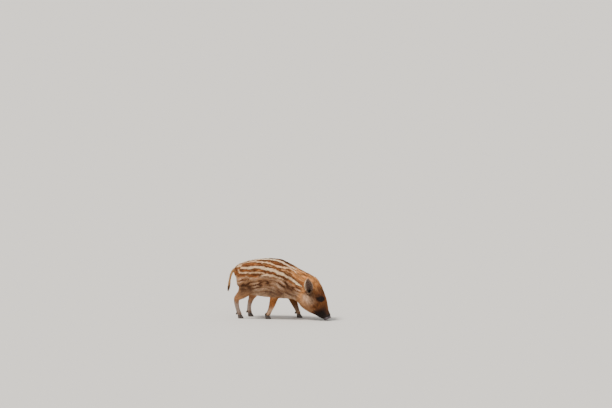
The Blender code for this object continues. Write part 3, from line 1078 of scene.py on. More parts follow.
    def _relief(self) -> Array:
        """The lips, the folds on the snout, the brow and the ears' ridges.

        Returns:
            How far each point of the skin is raised.
        """
        spots = self.spots
        section, angle, head = spots.section, np.abs(spots.angle), spots.of(Part.HEAD)
        mouth = self.mouth_distance(self.points)
        in_mouth = head * ramp(12.8, 13.5, section)
        lips = 0.5 * bell(np.abs(mouth), 2.4, 1.3) - 1.6 * bell(mouth, 0, 0.7)
        folds = 0.22 * np.sin((section - 14.5) * math.tau / 0.24) * ramp(2.2, 1.6, angle)
        folds *= ramp(14.3, 14.8, section) * ramp(16.0, 15.7, section)
        brow = np.zeros(len(self.points))
        for eye in self.eyes.values():
            ahead, above, out = eye.aside(self.points)
            brow += 1.4 * bell(above, 10.5, 4) * bell(ahead, -1, 9) * ramp(-6, 2, out)
        ear = 0.9 * self.ear_ridge(spots) * spots.inner * (1 - spots.rim) * spots.of(*EARS)
        sideways = ramp(0.85, 0.4, np.abs(dots(self.normals, spots.ahead)))
        flare = 2.3 * ramp(15.2, 15.85, section) * sideways
        return (lips * in_mouth + folds + brow + flare) * head + ear

    def concha(self, points: Array) -> Array:
        """How far places lie from the middle of the nearer ear's opening at its root.

        Args:
            points: The places.

        Returns:
            The distances, 0 in the middle and 1 at the opening's edge.
        """
        best = np.full(len(points), 9.0)
        for side in (-1, 1):
            mouth = self.ear_mouth(side)
            away = points - self.anatomy.place(np.array(self.opening) * (1, side, 1))
            up, out = away[:, 2], dots(away, mouth)
            across = dots(away, unit(np.cross(mouth, (0, 0, 1))))
            reach = np.hypot(up / 10.5, across / 7.5)
            best = np.minimum(best, np.where(np.abs(out) < 12, reach, 9.0))
        return best

    def ear_across(self, spots: Spots) -> Array:
        """How far across its ear each place lies.

        Args:
            spots: The places.

        Returns:
            The distances towards the snout, in millimetres.
        """
        across = np.zeros(len(spots.points))
        for part, side in zip(EARS, (-1, 1)):
            line = self.limbs[part]
            aside = unit(np.cross(self.ear_mouth(side), line.way)) * side
            across += dots(spots.points - line.middle(spots.points), aside) * spots.of(part)
        return across

    def ear_ridge(self, spots: Spots) -> Array:
        """The uneven ridges that run up the hollow of an ear, from -1 to 1."""
        across = self.ear_across(spots) + 2.4 * Noise(35).at(spots.points, 11)
        return np.sin(across * math.tau / 6.2) * (0.5 + 0.5 * Noise(37).at(spots.points, 8))

    @staticmethod
    def _lids(points: Array, eye: Eye) -> Array:
        """Fits the skin round an eye: lids that hug the ball, and a crease above them.

        Args:
            points: The skin's points.
            eye: The eye.

        Returns:
            The moved points.
        """
        reach, _, v, out = eye.spot(points)
        outside = eye.outside(points)
        near = (out > -0.25) & (reach < 16)
        lid = eye.radius + 0.5 + 0.5 * bell(outside, 0.9, 0.8)
        hug = ramp(3.4, 1.2, outside)
        target = reach + np.clip((lid - reach) * hug, -1.2, 3.0)
        target -= 0.6 * bell(outside, 3.2, 0.7) * ramp(-1, 1, v) + 0.35 * bell(outside, 2.7, 0.6)
        target = np.maximum(target, eye.radius + 0.45)
        inside = ramp(0.1, -0.4, outside)
        target = target * (1 - inside) + (eye.radius - 1.6) * inside
        moved = eye.centre + (points - eye.centre) * (target / reach)[:, None]
        return np.where(near[:, None], moved, points)


# ---------------- markings


@dataclass(frozen=True)
class Palette:
    """The coat's colours, linear."""

    cream: Colour = linear(255, 230, 196)
    buff: Colour = linear(238, 186, 128)
    rust: Colour = linear(190, 116, 62)
    sienna: Colour = linear(150, 90, 48)
    umber: Colour = linear(78, 44, 28)
    orange: Colour = linear(216, 150, 88)
    drab: Colour = linear(212, 158, 112)
    smoke: Colour = linear(140, 108, 86)
    ash: Colour = linear(240, 204, 170)
    soot: Colour = linear(34, 24, 21)
    flesh: Colour = linear(112, 86, 80)
    cannon: Colour = linear(206, 190, 180)


@dataclass(frozen=True)
class Stripe:
    """A light stripe along one side, mirrored on the other.

    Attributes:
        line: Its middle as rows of section, distance from the crest on the girth of the middle
            of the trunk, and half-width, from one end to the other.
        warmth: How much of the buff colour is in its cream, from 0 to 1.
        strength: How clearly it shows.
    """

    line: tuple[tuple[float, float, float], ...]
    warmth: float = 0.3
    strength: float = 1.0


def streaks(spots: Located, seed: int, grain: float, stretch: float) -> Array:
    """Noise from -1 to 1 in streaks along the body, a grain wide and stretch times as long."""
    side = np.sign(spots.points[:, 1]) * 50
    return Noise(seed).at(np.stack((spots.along / stretch, spots.crest, side), axis=1), grain)


def wisps(spots: Located, seed: int, grain: float, width: float) -> Array:
    """Thin wavy lines drawn out along the body: 1 on a line, 0 away from it."""
    return bell(streaks(spots, seed, grain, 6), 0, width)


@dataclass(frozen=True)
class Markings:
    """The piglet's stripes and the colours of its coat.

    Bare numbers in its methods are section numbers, millimetres from the crest, radians round
    the body or shares of a limb's length, where a colour comes or goes, and seeds of noise.

    Attributes:
        skin: The skin that the markings lie on.
        edge: How wide the dark line beside a stripe is.
        waver: How far the stripes stray from their lines.
        ragged: How far strands of one colour run into the next.
    """

    skin: Skin
    colours: Palette = Palette()
    stripes: tuple[Stripe, ...] = (
        Stripe(
            ((0.3, 17, 3), (1.2, 12.5, 4), (2.5, 10, 4.5), (4, 10.5, 5), (5, 13, 5), (5.6, 19, 5.5),
             (6.2, 26, 5.5), (6.8, 25, 4.5), (7.5, 21, 3)),
            warmth=0.15,
        ),
        Stripe(
            ((7.9, 40, 2.5), (7.3, 35, 3.5), (6.8, 38, 4), (6.3, 46, 4.2), (5.9, 50, 4.2), (5.4, 47, 4.2),
             (5, 41, 4.2), (4.5, 36, 4.2), (4, 31, 4.2), (3.4, 26, 4.2), (2.6, 24, 4.2), (1.8, 27, 4.2),
             (1.25, 33, 3.8), (1.05, 42, 3.6), (1.2, 50, 3.8), (1.8, 55, 4.2), (2.4, 57, 4.6)),
            warmth=0.55,
        ),
        Stripe(
            ((2.3, 57, 4.6), (3.2, 59.5, 5), (3.8, 58, 5), (4.3, 61, 5), (4.8, 67, 5.8), (5.4, 73, 6.6),
             (6.0, 78, 7), (6.5, 81, 6.2), (7.0, 85, 5.6), (7.6, 86, 5.6), (8.2, 87, 5.4), (8.8, 90, 4.6),
             (9.1, 93, 3)),
            warmth=0.25,
        ),
        Stripe(
            ((6.1, 61, 1.6), (6.5, 57, 2.4), (7, 57, 2.4), (7.6, 60, 2.2), (8.1, 62, 1.4)),
            warmth=0.9, strength=0.7,
        ),
        Stripe(
            ((1.3, 74, 3), (1.7, 81, 4.6), (2.5, 87, 4.8), (3.1, 84, 3.4), (3.7, 84, 3.2), (4.2, 85, 3.4),
             (4.7, 87, 2.4)),
            warmth=0.5, strength=0.85,
        ),
        Stripe(
            ((4.3, 99, 2.4), (4.8, 97, 3.8), (5.3, 98, 4.4), (5.9, 100, 4.4), (6.6, 104, 2.6)),
            warmth=0.35, strength=0.9,
        ),
        Stripe(((2.9, 103, 3.4), (3.4, 108, 3.8)), warmth=0.4, strength=0.6),
        Stripe(
            ((4.6, 118, 2.4), (5.0, 117, 3.4), (5.6, 121, 3), (6.2, 117, 3.4), (6.8, 107, 2.6)),
            warmth=0.4, strength=0.6,
        ),
    )
    edge: float = 3.2
    waver: float = 2.2
    ragged: float = 1.9

    def colour(self, spots: Spots) -> Array:
        """The coat's colour.

        Args:
            spots: The places.

        Returns:
            A linear colour for each.
        """
        tint = self._torso(spots)
        for laid_over in (self._head, self._legs, self._tail, self._ears):
            tint = laid_over(tint, spots)
        shade = 1 + 0.15 * Noise(41).at(spots.points, 5.5) + 0.12 * Noise(42).at(spots.points, 17)
        return np.clip(tint * shade[:, None], 0.003, 0.95)

    def stripe_shares(self, spots: Spots) -> tuple[Array, Array, Array]:
        """Where the light stripes lie.

        Args:
            spots: The places.

        Returns:
            How much of a light stripe and of a dark edge each has, and the stripe's warmth.
        """
        points = spots.points
        calm = 0.3 + 0.7 * ramp(1.0, 2.6, spots.section)
        along = spots.along + self.waver * 2 * calm * Noise(11).at(points, 24)
        sideways = self.waver * Noise(12).at(points, 24) + 0.8 * Noise(13).at(points, 6)
        broad = np.abs(spots.broad) + calm * sideways
        broad += self.ragged * calm * streaks(spots, 13, 2.6, 5)
        light, dark, warmth = np.zeros((3, len(points)))
        for stripe in self.stripes:
            rows = np.array(stripe.line, float)
            rows[:, 0] = np.interp(rows[:, 0], self.skin.body.places, self.skin.body.along)
            reach = np.full(len(points), 1e3)
            for start, end in zip(rows, rows[1:]):
                way = end[:2] - start[:2]
                away = np.stack((along - start[0], broad - start[1]), axis=1)
                t = np.clip(away @ way / (way @ way), 0, 1)
                gap = np.linalg.norm(away - t[:, None] * way, axis=1)
                reach = np.minimum(reach, gap - start[2] - (end[2] - start[2]) * t)
            broken = stripe.strength * (1 - 0.35 * ramp(0.2, 0.9, Noise(14).at(points, 15)))
            here = ramp(1.0, -1.2, reach) * broken
            warmth = np.where(here > light, stripe.warmth, warmth)
            light = np.maximum(light, here)
            dark = np.maximum(dark, bell(reach, self.edge, self.edge * 0.75) * stripe.strength)
        return light, dark * (1 - light), warmth

    def _torso(self, spots: Spots) -> Array:
        """Colours of trunk and neck.

        Args:
            spots: The places.

        Returns:
            A colour for each.
        """
        c, points, section = self.colours, spots.points, spots.section
        broad = np.abs(spots.broad) + 2.5 * Noise(15).at(points, 20)
        fine = streaks(spots, 16, 3.6, 5)
        neck = ramp(6.6, 7.6, section) * ramp(72, 58, broad)
        light, dark, warmth = self.stripe_shares(spots)
        fade = ramp(128, 108, broad)
        band = bell(broad, 73, 7) * ramp(5.6, 6.4, section) * ramp(9.3, 8.7, section)
        stripe = np.array(c.cream) + (np.array(c.buff) - np.array(c.cream)) * warmth[:, None]
        half = np.interp(
            section, (0, 1, 4, 5, 5.7, 6.2, 6.7, 7.2, 8.5, 11), (3, 3.5, 3.5, 5, 9, 15, 10, 6, 4.5, 3)
        )
        crest_line = ramp(half + 1.6, half - 1.6, np.abs(spots.crest) + 1.2 * Noise(17).at(points, 7))
        tint = layered(
            c.rust,
            (c.orange, 0.9 * neck),
            (c.buff, 0.6 * ramp(0.1, 0.55, fine)),
            (c.umber, 0.7 * ramp(-0.1, -0.5, fine) * (1 - 0.5 * neck)),
            (c.umber, 0.65 * wisps(spots, 19, 7.5, 0.24)),
            (c.umber, 0.95 * dark * fade * (1 - 0.5 * neck)),
            (c.umber, 0.6 * band),
            (stripe, light * fade),
            (c.soot, 0.82 * crest_line * ramp(11.4, 10, section)),
        )
        mottle = np.abs(streaks(spots, 18, 7.5, 6)) + 0.2 * fine
        flank = layered(
            c.drab,
            (c.smoke, 0.4 * ramp(100, 128, broad) * ramp(1.5, 3.5, section)),
            (c.ash, 0.85 * ramp(0.25, 0.6, mottle)),
            (c.umber, 0.95 * ramp(0.24, 0.08, mottle)),
            (c.umber, 0.5 * wisps(spots, 10, 4.5, 0.2)),
        )
        angle = np.abs(spots.angle)
        return layered(
            tint,
            (flank, 0.9 * ramp(96, 116, broad)),
            (c.smoke, 0.3 * ramp(1.75, 2.3, angle)),
            (c.ash, 0.5 * ramp(2.3, 2.8, angle)),
            (c.buff, 0.6 * ramp(0.9, 0.2, section) * ramp(40, 20, np.abs(spots.crest))),
        )

    def _head(self, tint: Array, spots: Spots) -> Array:
        """Colours of the face, over the torso's.

        Args:
            tint: The colours so far.
            spots: The places.

        Returns:
            The new colours.
        """
        c, skin, points, angle = self.colours, self.skin, spots.points, np.abs(spots.angle)
        section = spots.section + 0.12 * Noise(21).at(points, 9)
        strands = streaks(spots, 25, 2.8, 4.5)
        cheek = bell(angle, 1.85, 0.6) * ramp(9.6, 10.6, section) * ramp(12.7, 11.5, section)
        bridge = bell(angle, 0, 0.35) * ramp(11.4, 12.2, section) * ramp(15.2, 14.6, section)
        mouth = np.abs(skin.mouth_distance(points) + 1.5 * Noise(24).at(points, 6))
        eye = skin.eye_distance(points)
        patch = np.full(len(points), 99.0)
        for one in skin.eyes.values():
            away = (points - one.centre + (4, 0, -2)) * (0.55, 1, 1.0)
            patch = np.minimum(patch, np.linalg.norm(away, axis=1))
        face = layered(
            c.orange,
            (c.sienna, 0.92 * ramp(9.8, 11.2, section)),
            (c.umber, 0.6 * bell(Noise(22).at(points, 8), 0.5, 0.35)),
            (c.umber, 0.5 * ramp(0.1, 0.6, strands)),
            (c.buff, 0.35 * ramp(-0.15, -0.6, strands) * (1 - 0.6 * ramp(11, 12, section))),
            (c.ash, cheek * (0.42 + 0.34 * ramp(0.35, -0.35, strands))),
            (c.umber, 0.4 * bell(section, 11.5, 0.9) * ramp(1.5, 0.7, angle)),
            (c.drab, 0.7 * ramp(2.0, 2.5, angle) * ramp(13.5, 12.8, section)),
            (c.umber, 0.85 * ramp(12.7, 14.2, section)),
            (c.soot, 0.9 * ramp(13.3, 14.6, section) * ramp(0.4, 1.1, angle)),
            # Rust along the bridge: partly the face's own tone, partly painted highlight on the ridge that
            # the light falls on.
            (c.rust, 0.6 * bridge),
            (c.soot, 0.7 * ramp(7.0, 1.0, mouth) * ramp(12.4, 13.6, section)),
            (c.umber, 0.92 * ramp(18, 11, patch + 2 * Noise(23).at(points, 5))),
            (c.soot, 0.95 * np.maximum(ramp(14, 10.5, eye), ramp(15, 9, patch))),
        )
        return layered(tint, (face, ramp(9.0, 9.9, spots.section) * spots.of(Part.TORSO, Part.HEAD)))

    def _legs(self, tint: Array, spots: Spots) -> Array:
        """Colours of the legs, over the torso's.

        Args:
            tint: The colours so far.
            spots: The places.

        Returns:
            The new colours.
        """
        c, points = self.colours, spots.points
        down = np.clip(spots.limb, 0, 1) + 0.05 * Noise(31).at(points, 9)
        patches = ramp(0.15, 0.7, Noise(32).at(points, 7)) * ramp(0.7, 0.3, down)
        for part in LEGS:
            fore = part in (Part.FORE_RIGHT, Part.FORE_LEFT)
            shaded = 0.6 if part is Part.FORE_LEFT else 0.0
            away = unit(points - self.skin.limbs[part].middle(points))
            leg = layered(
                c.orange if fore else c.drab,
                (c.smoke, (0.0 if fore else 0.2) * ramp(0.5, 0.2, down)),
                (c.rust, (0.65 if fore else 0.2) * ramp(-0.1, 0.25, down)),
                (c.umber, 0.5 * patches),
                (c.ash if fore else c.cannon, 0.75 * ramp(0.5, 0.78, down)),
                (c.umber, 0.6 * ramp(-0.5, -0.9, away[:, 0]) * ramp(0.45, 0.6, down)),
                (c.umber, shaded * ramp(0.05, 0.3, down) * ramp(0.97, 0.8, down)),
                (c.smoke, 0.6 * ramp(0.86, 0.98, down)),
            )
            top = ramp(-0.02, 0.16, down) if fore else ramp(0.08, 0.5, down)
            tint = layered(tint, (leg, ramp(0.15, 0.85, spots.of(part)) * top))
        return tint

    def _tail(self, tint: Array, spots: Spots) -> Array:
        """Colours of the tail, over the torso's.

        Args:
            tint: The colours so far.
            spots: The places.

        Returns:
            The new colours.
        """
        tail = layered(
            self.colours.buff,
            (self.colours.rust, 0.5 * ramp(0.2, 0.6, Noise(33).at(spots.points, 6))),
            (self.colours.umber, 0.9 * ramp(0.62, 0.86, spots.limb)),
        )
        return layered(tint, (tail, ramp(0.3, 0.9, spots.of(Part.TAIL))))

    def _ears(self, tint: Array, spots: Spots) -> Array:
        """Colours of the ears and their roots: buff behind, dark inside partly as painted shade, with a
        pale rim.

        Args:
            tint: The colours so far.
            spots: The places.

        Returns:
            The new colours.
        """
        c, points, inner = self.colours, spots.points, spots.inner
        ridge = 0.5 + 0.5 * self.skin.ear_ridge(spots)
        across = self.skin.ear_across(spots)
        ear = layered(
            c.sienna,
            (c.buff, 0.4 * ramp(0.0, 0.6, Noise(34).at(points, 5))),
            # Dark in the hollow: partly the ear's own dark skin, partly painted shade that deepens inwards.
            (c.soot, 0.9 * ramp(0.3, 0.8, inner)),
            # The bare skin's flesh tone laid on the crests of the ridges, as painted highlight.
            (c.flesh, 0.5 * inner * ridge * ramp(0.15, 0.6, spots.limb)),
            (c.ash, 0.4 * inner * ramp(-8, -15, across + 2 * Noise(38).at(points, 6))),
            (c.cream, (0.95 - 0.45 * ramp(0, 9, across)) * ramp(0.12, 0.45, spots.rim)),
        )
        root = self.skin.concha(points) + 0.1 * Noise(36).at(points, 4)
        tint = layered(
            tint,
            (ear, ramp(0.35, 0.8, spots.of(*EARS))),
            (c.ash, 0.7 * bell(root, 1.45, 0.2) * (points[:, 2] < 139)),
            (c.umber, 0.8 * bell(root, 1.95, 0.25) * (points[:, 2] < 136)),
            # Near-black in the ear's opening at its root: painted shade in the hollow.
            (c.soot, 0.9 * ramp(1.25, 1.0, root)),
        )
        # Darker still towards the middle of the opening: painted shade deep in the hollow.
        return tint * (1 - 0.8 * ramp(0.9, 0.4, root))[:, None]

    def bare(self, spots: Spots) -> Array:
        """How bare the skin is: on lids, lips, the snout's end and inside the ears.

        Args:
            spots: The places.

        Returns:
            A value for each, from 0 under the coat to 1 where it is bare.
        """
        skin, points, section = self.skin, spots.points, spots.section
        lids = np.max([ramp(2.2, 0.9, eye.outside(points)) for eye in skin.eyes.values()], axis=0)
        lids *= skin.eye_distance(points) < 14
        lips = ramp(1.7, 0.9, np.abs(skin.mouth_distance(points))) * ramp(12.9, 13.3, section)
        snout = ramp(15.62, 15.85, section)
        inside = 0.8 * spots.inner * (1 - spots.rim) * spots.of(*EARS)
        inside = np.maximum(inside, 0.96 * ramp(1.2, 1.0, skin.concha(points)))
        return np.clip(np.maximum.reduce([lids, lips * spots.of(Part.HEAD), snout, inside]), 0, 1)


# ---------------- the coat


@dataclass(frozen=True)
class Hair:
    """How the tufts of one stretch of the coat are made.

    Attributes:
        count: How many there are.
        width: How wide they are, as a share of their length.
        least: The least width, in millimetres.
        bent: Whether they have a ring between root and tip.
        stray: How far their directions stray, in radians.
        gather: How far neighbours lean together, in radians.
    """

    count: int
    width: float
    least: float
    bent: bool
    stray: float
    gather: float


class Stretch(Enum):
    """The stretches of the coat, each as its pieces' name and a second label."""

    TRUNK = ("trunk", "coat")
    HEAD = ("head", "face_coat")
    LEGS = ("legs", "leg_coat")
    EARS = ("ears", "ear_coat")
    TAIL = ("tail", "tail_coat")
    BRISTLES = ("bristles", "face_coat")


HAIRS = {
    Stretch.TRUNK: Hair(92_000, 0.075, 0.55, True, 0.16, 0.30),
    Stretch.HEAD: Hair(46_000, 0.13, 0.42, False, 0.14, 0.18),
    Stretch.LEGS: Hair(34_000, 0.12, 0.5, False, 0.13, 0.15),
    Stretch.EARS: Hair(10_000, 0.1, 0.36, False, 0.16, 0.15),
    Stretch.TAIL: Hair(4_500, 0.1, 0.45, False, 0.14, 0.15),
}


@dataclass
class Tufts:
    """Tufts, ready to be made.

    Attributes:
        height: How far their tips stand off the skin.
        place: Their roots' places on the unwrapped skin, from 0 to 1.
    """

    root: Array
    normal: Array
    lie: Array
    length: Array
    width: Array
    height: Array
    tint: Array
    place: Array

    def some(self, chosen: Array) -> "Tufts":
        """Some of the tufts."""
        return Tufts(*(values[chosen] for values in vars(self).values()))


@dataclass
class Coat:
    """The coat of tufts over the skin.

    Attributes:
        most: The most triangles in one piece.
        patch: The size of a tuft's patch on the unwrapped skin.
    """

    skin: Skin
    markings: Markings
    seed: int = 20
    most: int = 195_000
    patch: float = 0.003

    def build(self, material: Material) -> None:
        """Grows every stretch of the coat.

        Args:
            material: The hair's finish.
        """
        self.rng = np.random.default_rng(self.seed)
        self.gather = [Noise(51), Noise(52)]
        for stretch, hair in HAIRS.items():
            tufts = self._grown(stretch, hair)
            pieces = math.ceil(hair.count * len(self._pattern(hair.bent)) / self.most)
            order = tufts.root[:, 0].argsort()
            for number, chosen in enumerate(np.array_split(order, pieces), 1):
                name = "coat_" + stretch.value[0] + (f"_{number}" if pieces > 1 else "")
                self.add(name, stretch, tufts.some(chosen), hair.bent, material)

    def _density(self, stretch: Stretch) -> Array:
        """How densely a stretch's tufts stand at each point of the skin, before scaling.

        Args:
            stretch: The stretch.

        Returns:
            The densities.
        """
        spots = self.skin.spots
        body = spots.of(Part.TORSO, Part.HEAD)
        head = ramp(9.3, 10.3, spots.section) * body
        share = {
            Stretch.TRUNK: body - head,
            Stretch.HEAD: head,
            Stretch.LEGS: spots.of(*LEGS),
            Stretch.EARS: spots.of(*EARS),
            Stretch.TAIL: spots.of(Part.TAIL),
        }[stretch]
        thin = 1 / np.maximum(self.skin.lengths, 2.2) ** 0.9
        return np.clip(share, 0, 1) * thin * (1 - 0.985 * self.markings.bare(spots))

    def _grown(self, stretch: Stretch, hair: Hair) -> Tufts:
        """A stretch's tufts, scattered over the skin.

        Args:
            stretch: The stretch.
            hair: How its tufts are made.

        Returns:
            The tufts.
        """
        skin, rng, count = self.skin, self.rng, hair.count
        corners = skin.points[skin.faces]
        sides = corners[:, 1:] - corners[:, :1]
        area = np.linalg.norm(np.cross(sides[:, 0], sides[:, 1]), axis=1)
        weight = area * self._density(stretch)[skin.faces].mean(1)
        cells = np.floor(corners.mean(1) / 6).astype(int)
        order = np.lexsort((cells[:, 2], cells[:, 1], cells[:, 0]))
        total = np.cumsum(weight[order])
        chosen = (np.arange(count) + rng.random(count)) / count * total[-1]
        face = order[np.minimum(np.searchsorted(total, chosen), len(order) - 1)]
        a, b = rng.random((2, count))
        flip = a + b > 1
        a, b = np.where(flip, 1 - a, a), np.where(flip, 1 - b, b)
        mix = np.stack((1 - a - b, a, b), axis=1)[:, :, None]
        near = skin.faces[face]
        root = (skin.points[near] * mix).sum(1)
        rows = (skin.spots.packed()[near] * mix).sum(1)
        spots = Spots.unpacked(skin.body.locate(root), rows)
        length = (skin.lengths[near] * mix[:, :, 0]).sum(1)
        length = length * (0.78 + 0.44 * rng.random(count))
        side = np.cross(spots.normal, spots.lie)
        turn = hair.stray * np.clip(rng.standard_normal(count), -2, 2)
        turn += hair.gather * self.gather[0].at(root, 11)
        lie = spots.lie * np.cos(turn)[:, None] + side * np.sin(turn)[:, None]
        lift = 0.78 + 0.3 * rng.random(count) + 0.35 * self.gather[1].at(root, 9)
        height = length * skin.depth * lift
        width = np.maximum(length * hair.width, hair.least) * (0.75 + 0.5 * rng.random(count))
        tint = self.markings.colour(spots)
        tint = layered(tint, (self.markings.colours.ash, 0.3 * spots.inner * spots.of(*EARS)))
        tint = tint * (0.72 + 0.56 * rng.random(count))[:, None]
        place = self._places(stretch, spots)
        return Tufts(root, spots.normal, lie, length, width, height, tint, place)

    def _places(self, stretch: Stretch, spots: Spots) -> Array:
        """Roots' places on the skin, unwrapped along the body, each leg, each ear and the tail.

        Args:
            stretch: The stretch of the coat.
            spots: The roots.

        Returns:
            Places from 0 to 1 both ways.
        """
        skin, root = self.skin, spots.points
        if stretch in (Stretch.TRUNK, Stretch.HEAD):
            along = spots.along / skin.body.along[-1]
            return np.stack((along, spots.angle / math.tau + 0.5), axis=1)
        parts = {Stretch.LEGS: LEGS, Stretch.EARS: EARS, Stretch.TAIL: (Part.TAIL,)}[stretch]
        mine = np.stack([spots.of(part) for part in parts]).argmax(0)
        place = np.zeros((len(root), 2))
        for tile, part in enumerate(parts):
            line = skin.limbs[part]
            away = root - line.middle(root)
            if part in EARS:
                mouth = skin.ear_mouth(-1 if part is Part.EAR_RIGHT else 1)
                across = unit(np.cross(line.way, mouth))
                around = 0.25 + dots(away, across) / 100 + 0.5 * (spots.inner > 0.5)
            else:
                across = unit(np.cross(line.way, (0, 1, 0)))
                other = np.cross(line.way, across)
                around = np.arctan2(dots(away, across), dots(away, other)) / math.tau + 0.5
            spot = np.stack((np.clip(around, 0, 1), line.share(root)), axis=1)
            place = np.where((mine == tile)[:, None], (spot + (tile, 0)) / (len(parts), 1), place)
        return place

    def add(
        self, name: str, stretch: Stretch, tufts: Tufts, bent: bool, material: Material
    ) -> None:
        """One piece of the coat.

        Args:
            name: Its name.
            stretch: The stretch that it is part of. Not used.
            tufts: Its tufts.
            bent: Whether they have a ring between root and tip.
            material: The hair's finish.
        """
        rings = self._rings(tufts, bent)
        count, per = rings.shape[:2]
        points = rings.reshape(-1, 3)
        pattern = self._pattern(bent)
        triangles = (pattern[None] + (np.arange(count) * per)[:, None, None]).reshape(-1, 3)
        mesh = bpy.data.meshes.new(name)
        mesh.vertices.add(len(points))
        mesh.vertices.foreach_set("co", (points * MM).astype(np.float32).ravel())
        mesh.loops.add(triangles.size)
        mesh.loops.foreach_set("vertex_index", triangles.astype(np.int32).ravel())
        mesh.polygons.add(len(triangles))
        mesh.polygons.foreach_set("loop_start", np.arange(0, triangles.size, 3, dtype=np.int32))
        mesh.polygons.foreach_set("use_smooth", np.ones(len(triangles), bool))
        mesh.update(calc_edges=True)
        # Each tuft is painted darker at its root and lighter at its tip: painted shade deep in the coat and
        # painted light at its top.
        painted_depth_shades = np.array((0.6, 0.6, 0.6, 1.05, 1.05, 1.05, 1.15) if bent else (0.7, 0.7, 0.7, 1.1))
        set_colours(mesh, TINT, (tufts.tint[:, None] * painted_depth_shades[None, :, None]).reshape(-1, 3))
        low, high = tufts.place.min(0), tufts.place.max(0)
        place = (tufts.place - low) / np.maximum(high - low, 1e-6) * (1 - 2 * self.patch)
        steps = np.array(
            ((0, 0), (0.5, 0), (1, 0), (0, 0.5), (0.5, 0.5), (1, 0.5), (0.5, 1))
            if bent
            else ((0, 0), (0.5, 0), (1, 0), (0.5, 1))
        )
        spots = (place[:, None] + steps[None] * self.patch).reshape(-1, 2)
        chart = mesh.uv_layers.new(name=BAKE_MAP)
        chart.data.foreach_set("uv", spots[triangles.ravel()].astype(np.float32).ravel())
        piece = add_object(name, mesh, material)
        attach(piece, "root")
        LOG.info("%s: %d tufts, %d triangles", name, count, len(triangles))

    @staticmethod
    def _rings(tufts: Tufts, bent: bool) -> Array:
        """The points of each tuft: its root's corners, those halfway and its tip.

        Args:
            tufts: The tufts.
            bent: Whether they have points halfway.

        Returns:
            A row of points for each tuft.
        """
        side = unit(np.cross(tufts.normal, tufts.lie))
        across = side * (tufts.width / 2)[:, None]
        up = tufts.normal * (tufts.width / 2 * 0.7)[:, None]
        flat = np.sqrt(np.maximum(tufts.length**2 - tufts.height**2, 0))

        def at(t: float) -> Array:
            """The tuft's middle at a share of its length."""
            rise = tufts.height * (1.7 * t - 0.7 * t * t)
            return tufts.root + tufts.lie * (flat * t)[:, None] + tufts.normal * rise[:, None]

        below = tufts.normal * 0.35
        root = at(0) - below
        ring = [root - across * 0.7, root + across * 0.7, root + up * 0.7]
        if bent:
            middle = at(0.45)
            ring += [middle - across, middle + across, middle + up]
        ring.append(at(1.0))
        return np.stack(ring, axis=1)

    @staticmethod
    def _pattern(bent: bool) -> Array:
        """The triangles of one tuft.

        Args:
            bent: Whether it has points halfway.

        Returns:
            A row of three points for each triangle.
        """
        triangles = [(0, 1, 2)]
        for a, b in ((0, 1), (1, 2), (2, 0)):
            if bent:
                triangles += [(a, b + 3, b), (a, a + 3, b + 3), (a + 3, 6, b + 3)]
            else:
                triangles.append((a, 3, b))
        return np.array(triangles)


# ---------------- finishes


class Signal:
    """A shader socket that can be used in Python expressions."""

    def __init__(self, nodes: "Nodes", socket: bpy.types.NodeSocket) -> None:
        """Wraps a socket of a finish's nodes."""
        self.nodes = nodes
        self.socket = socket

    def _math(self, operation: str, first: "Signal | float", second: "Signal | float") -> "Signal":
        """A Math node on two values."""
        return self.nodes.add("ShaderNodeMath", {"operation": operation}, {0: first, 1: second})

    def __add__(self, other: "Signal | float") -> "Signal":
        """The sum."""
        return self._math("ADD", self, other)

    def __sub__(self, other: "Signal | float") -> "Signal":
        """The difference."""
        return self._math("SUBTRACT", self, other)

    def __rsub__(self, other: "Signal | float") -> "Signal":
        """The difference, the other way round."""
        return self._math("SUBTRACT", other, self)

    def __mul__(self, other: "Signal | float") -> "Signal":
        """The product."""
        return self._math("MULTIPLY", self, other)

    __radd__ = __add__
    __rmul__ = __mul__

    def stepped(self, low: float, high: float) -> "Signal":
        """A smooth step from 0 at low to 1 at high."""
        settings = {"interpolation_type": "SMOOTHSTEP", "clamp": True}
        limits = {"Value": self, "From Min": low, "From Max": high}
        return self.nodes.add("ShaderNodeMapRange", settings, limits)


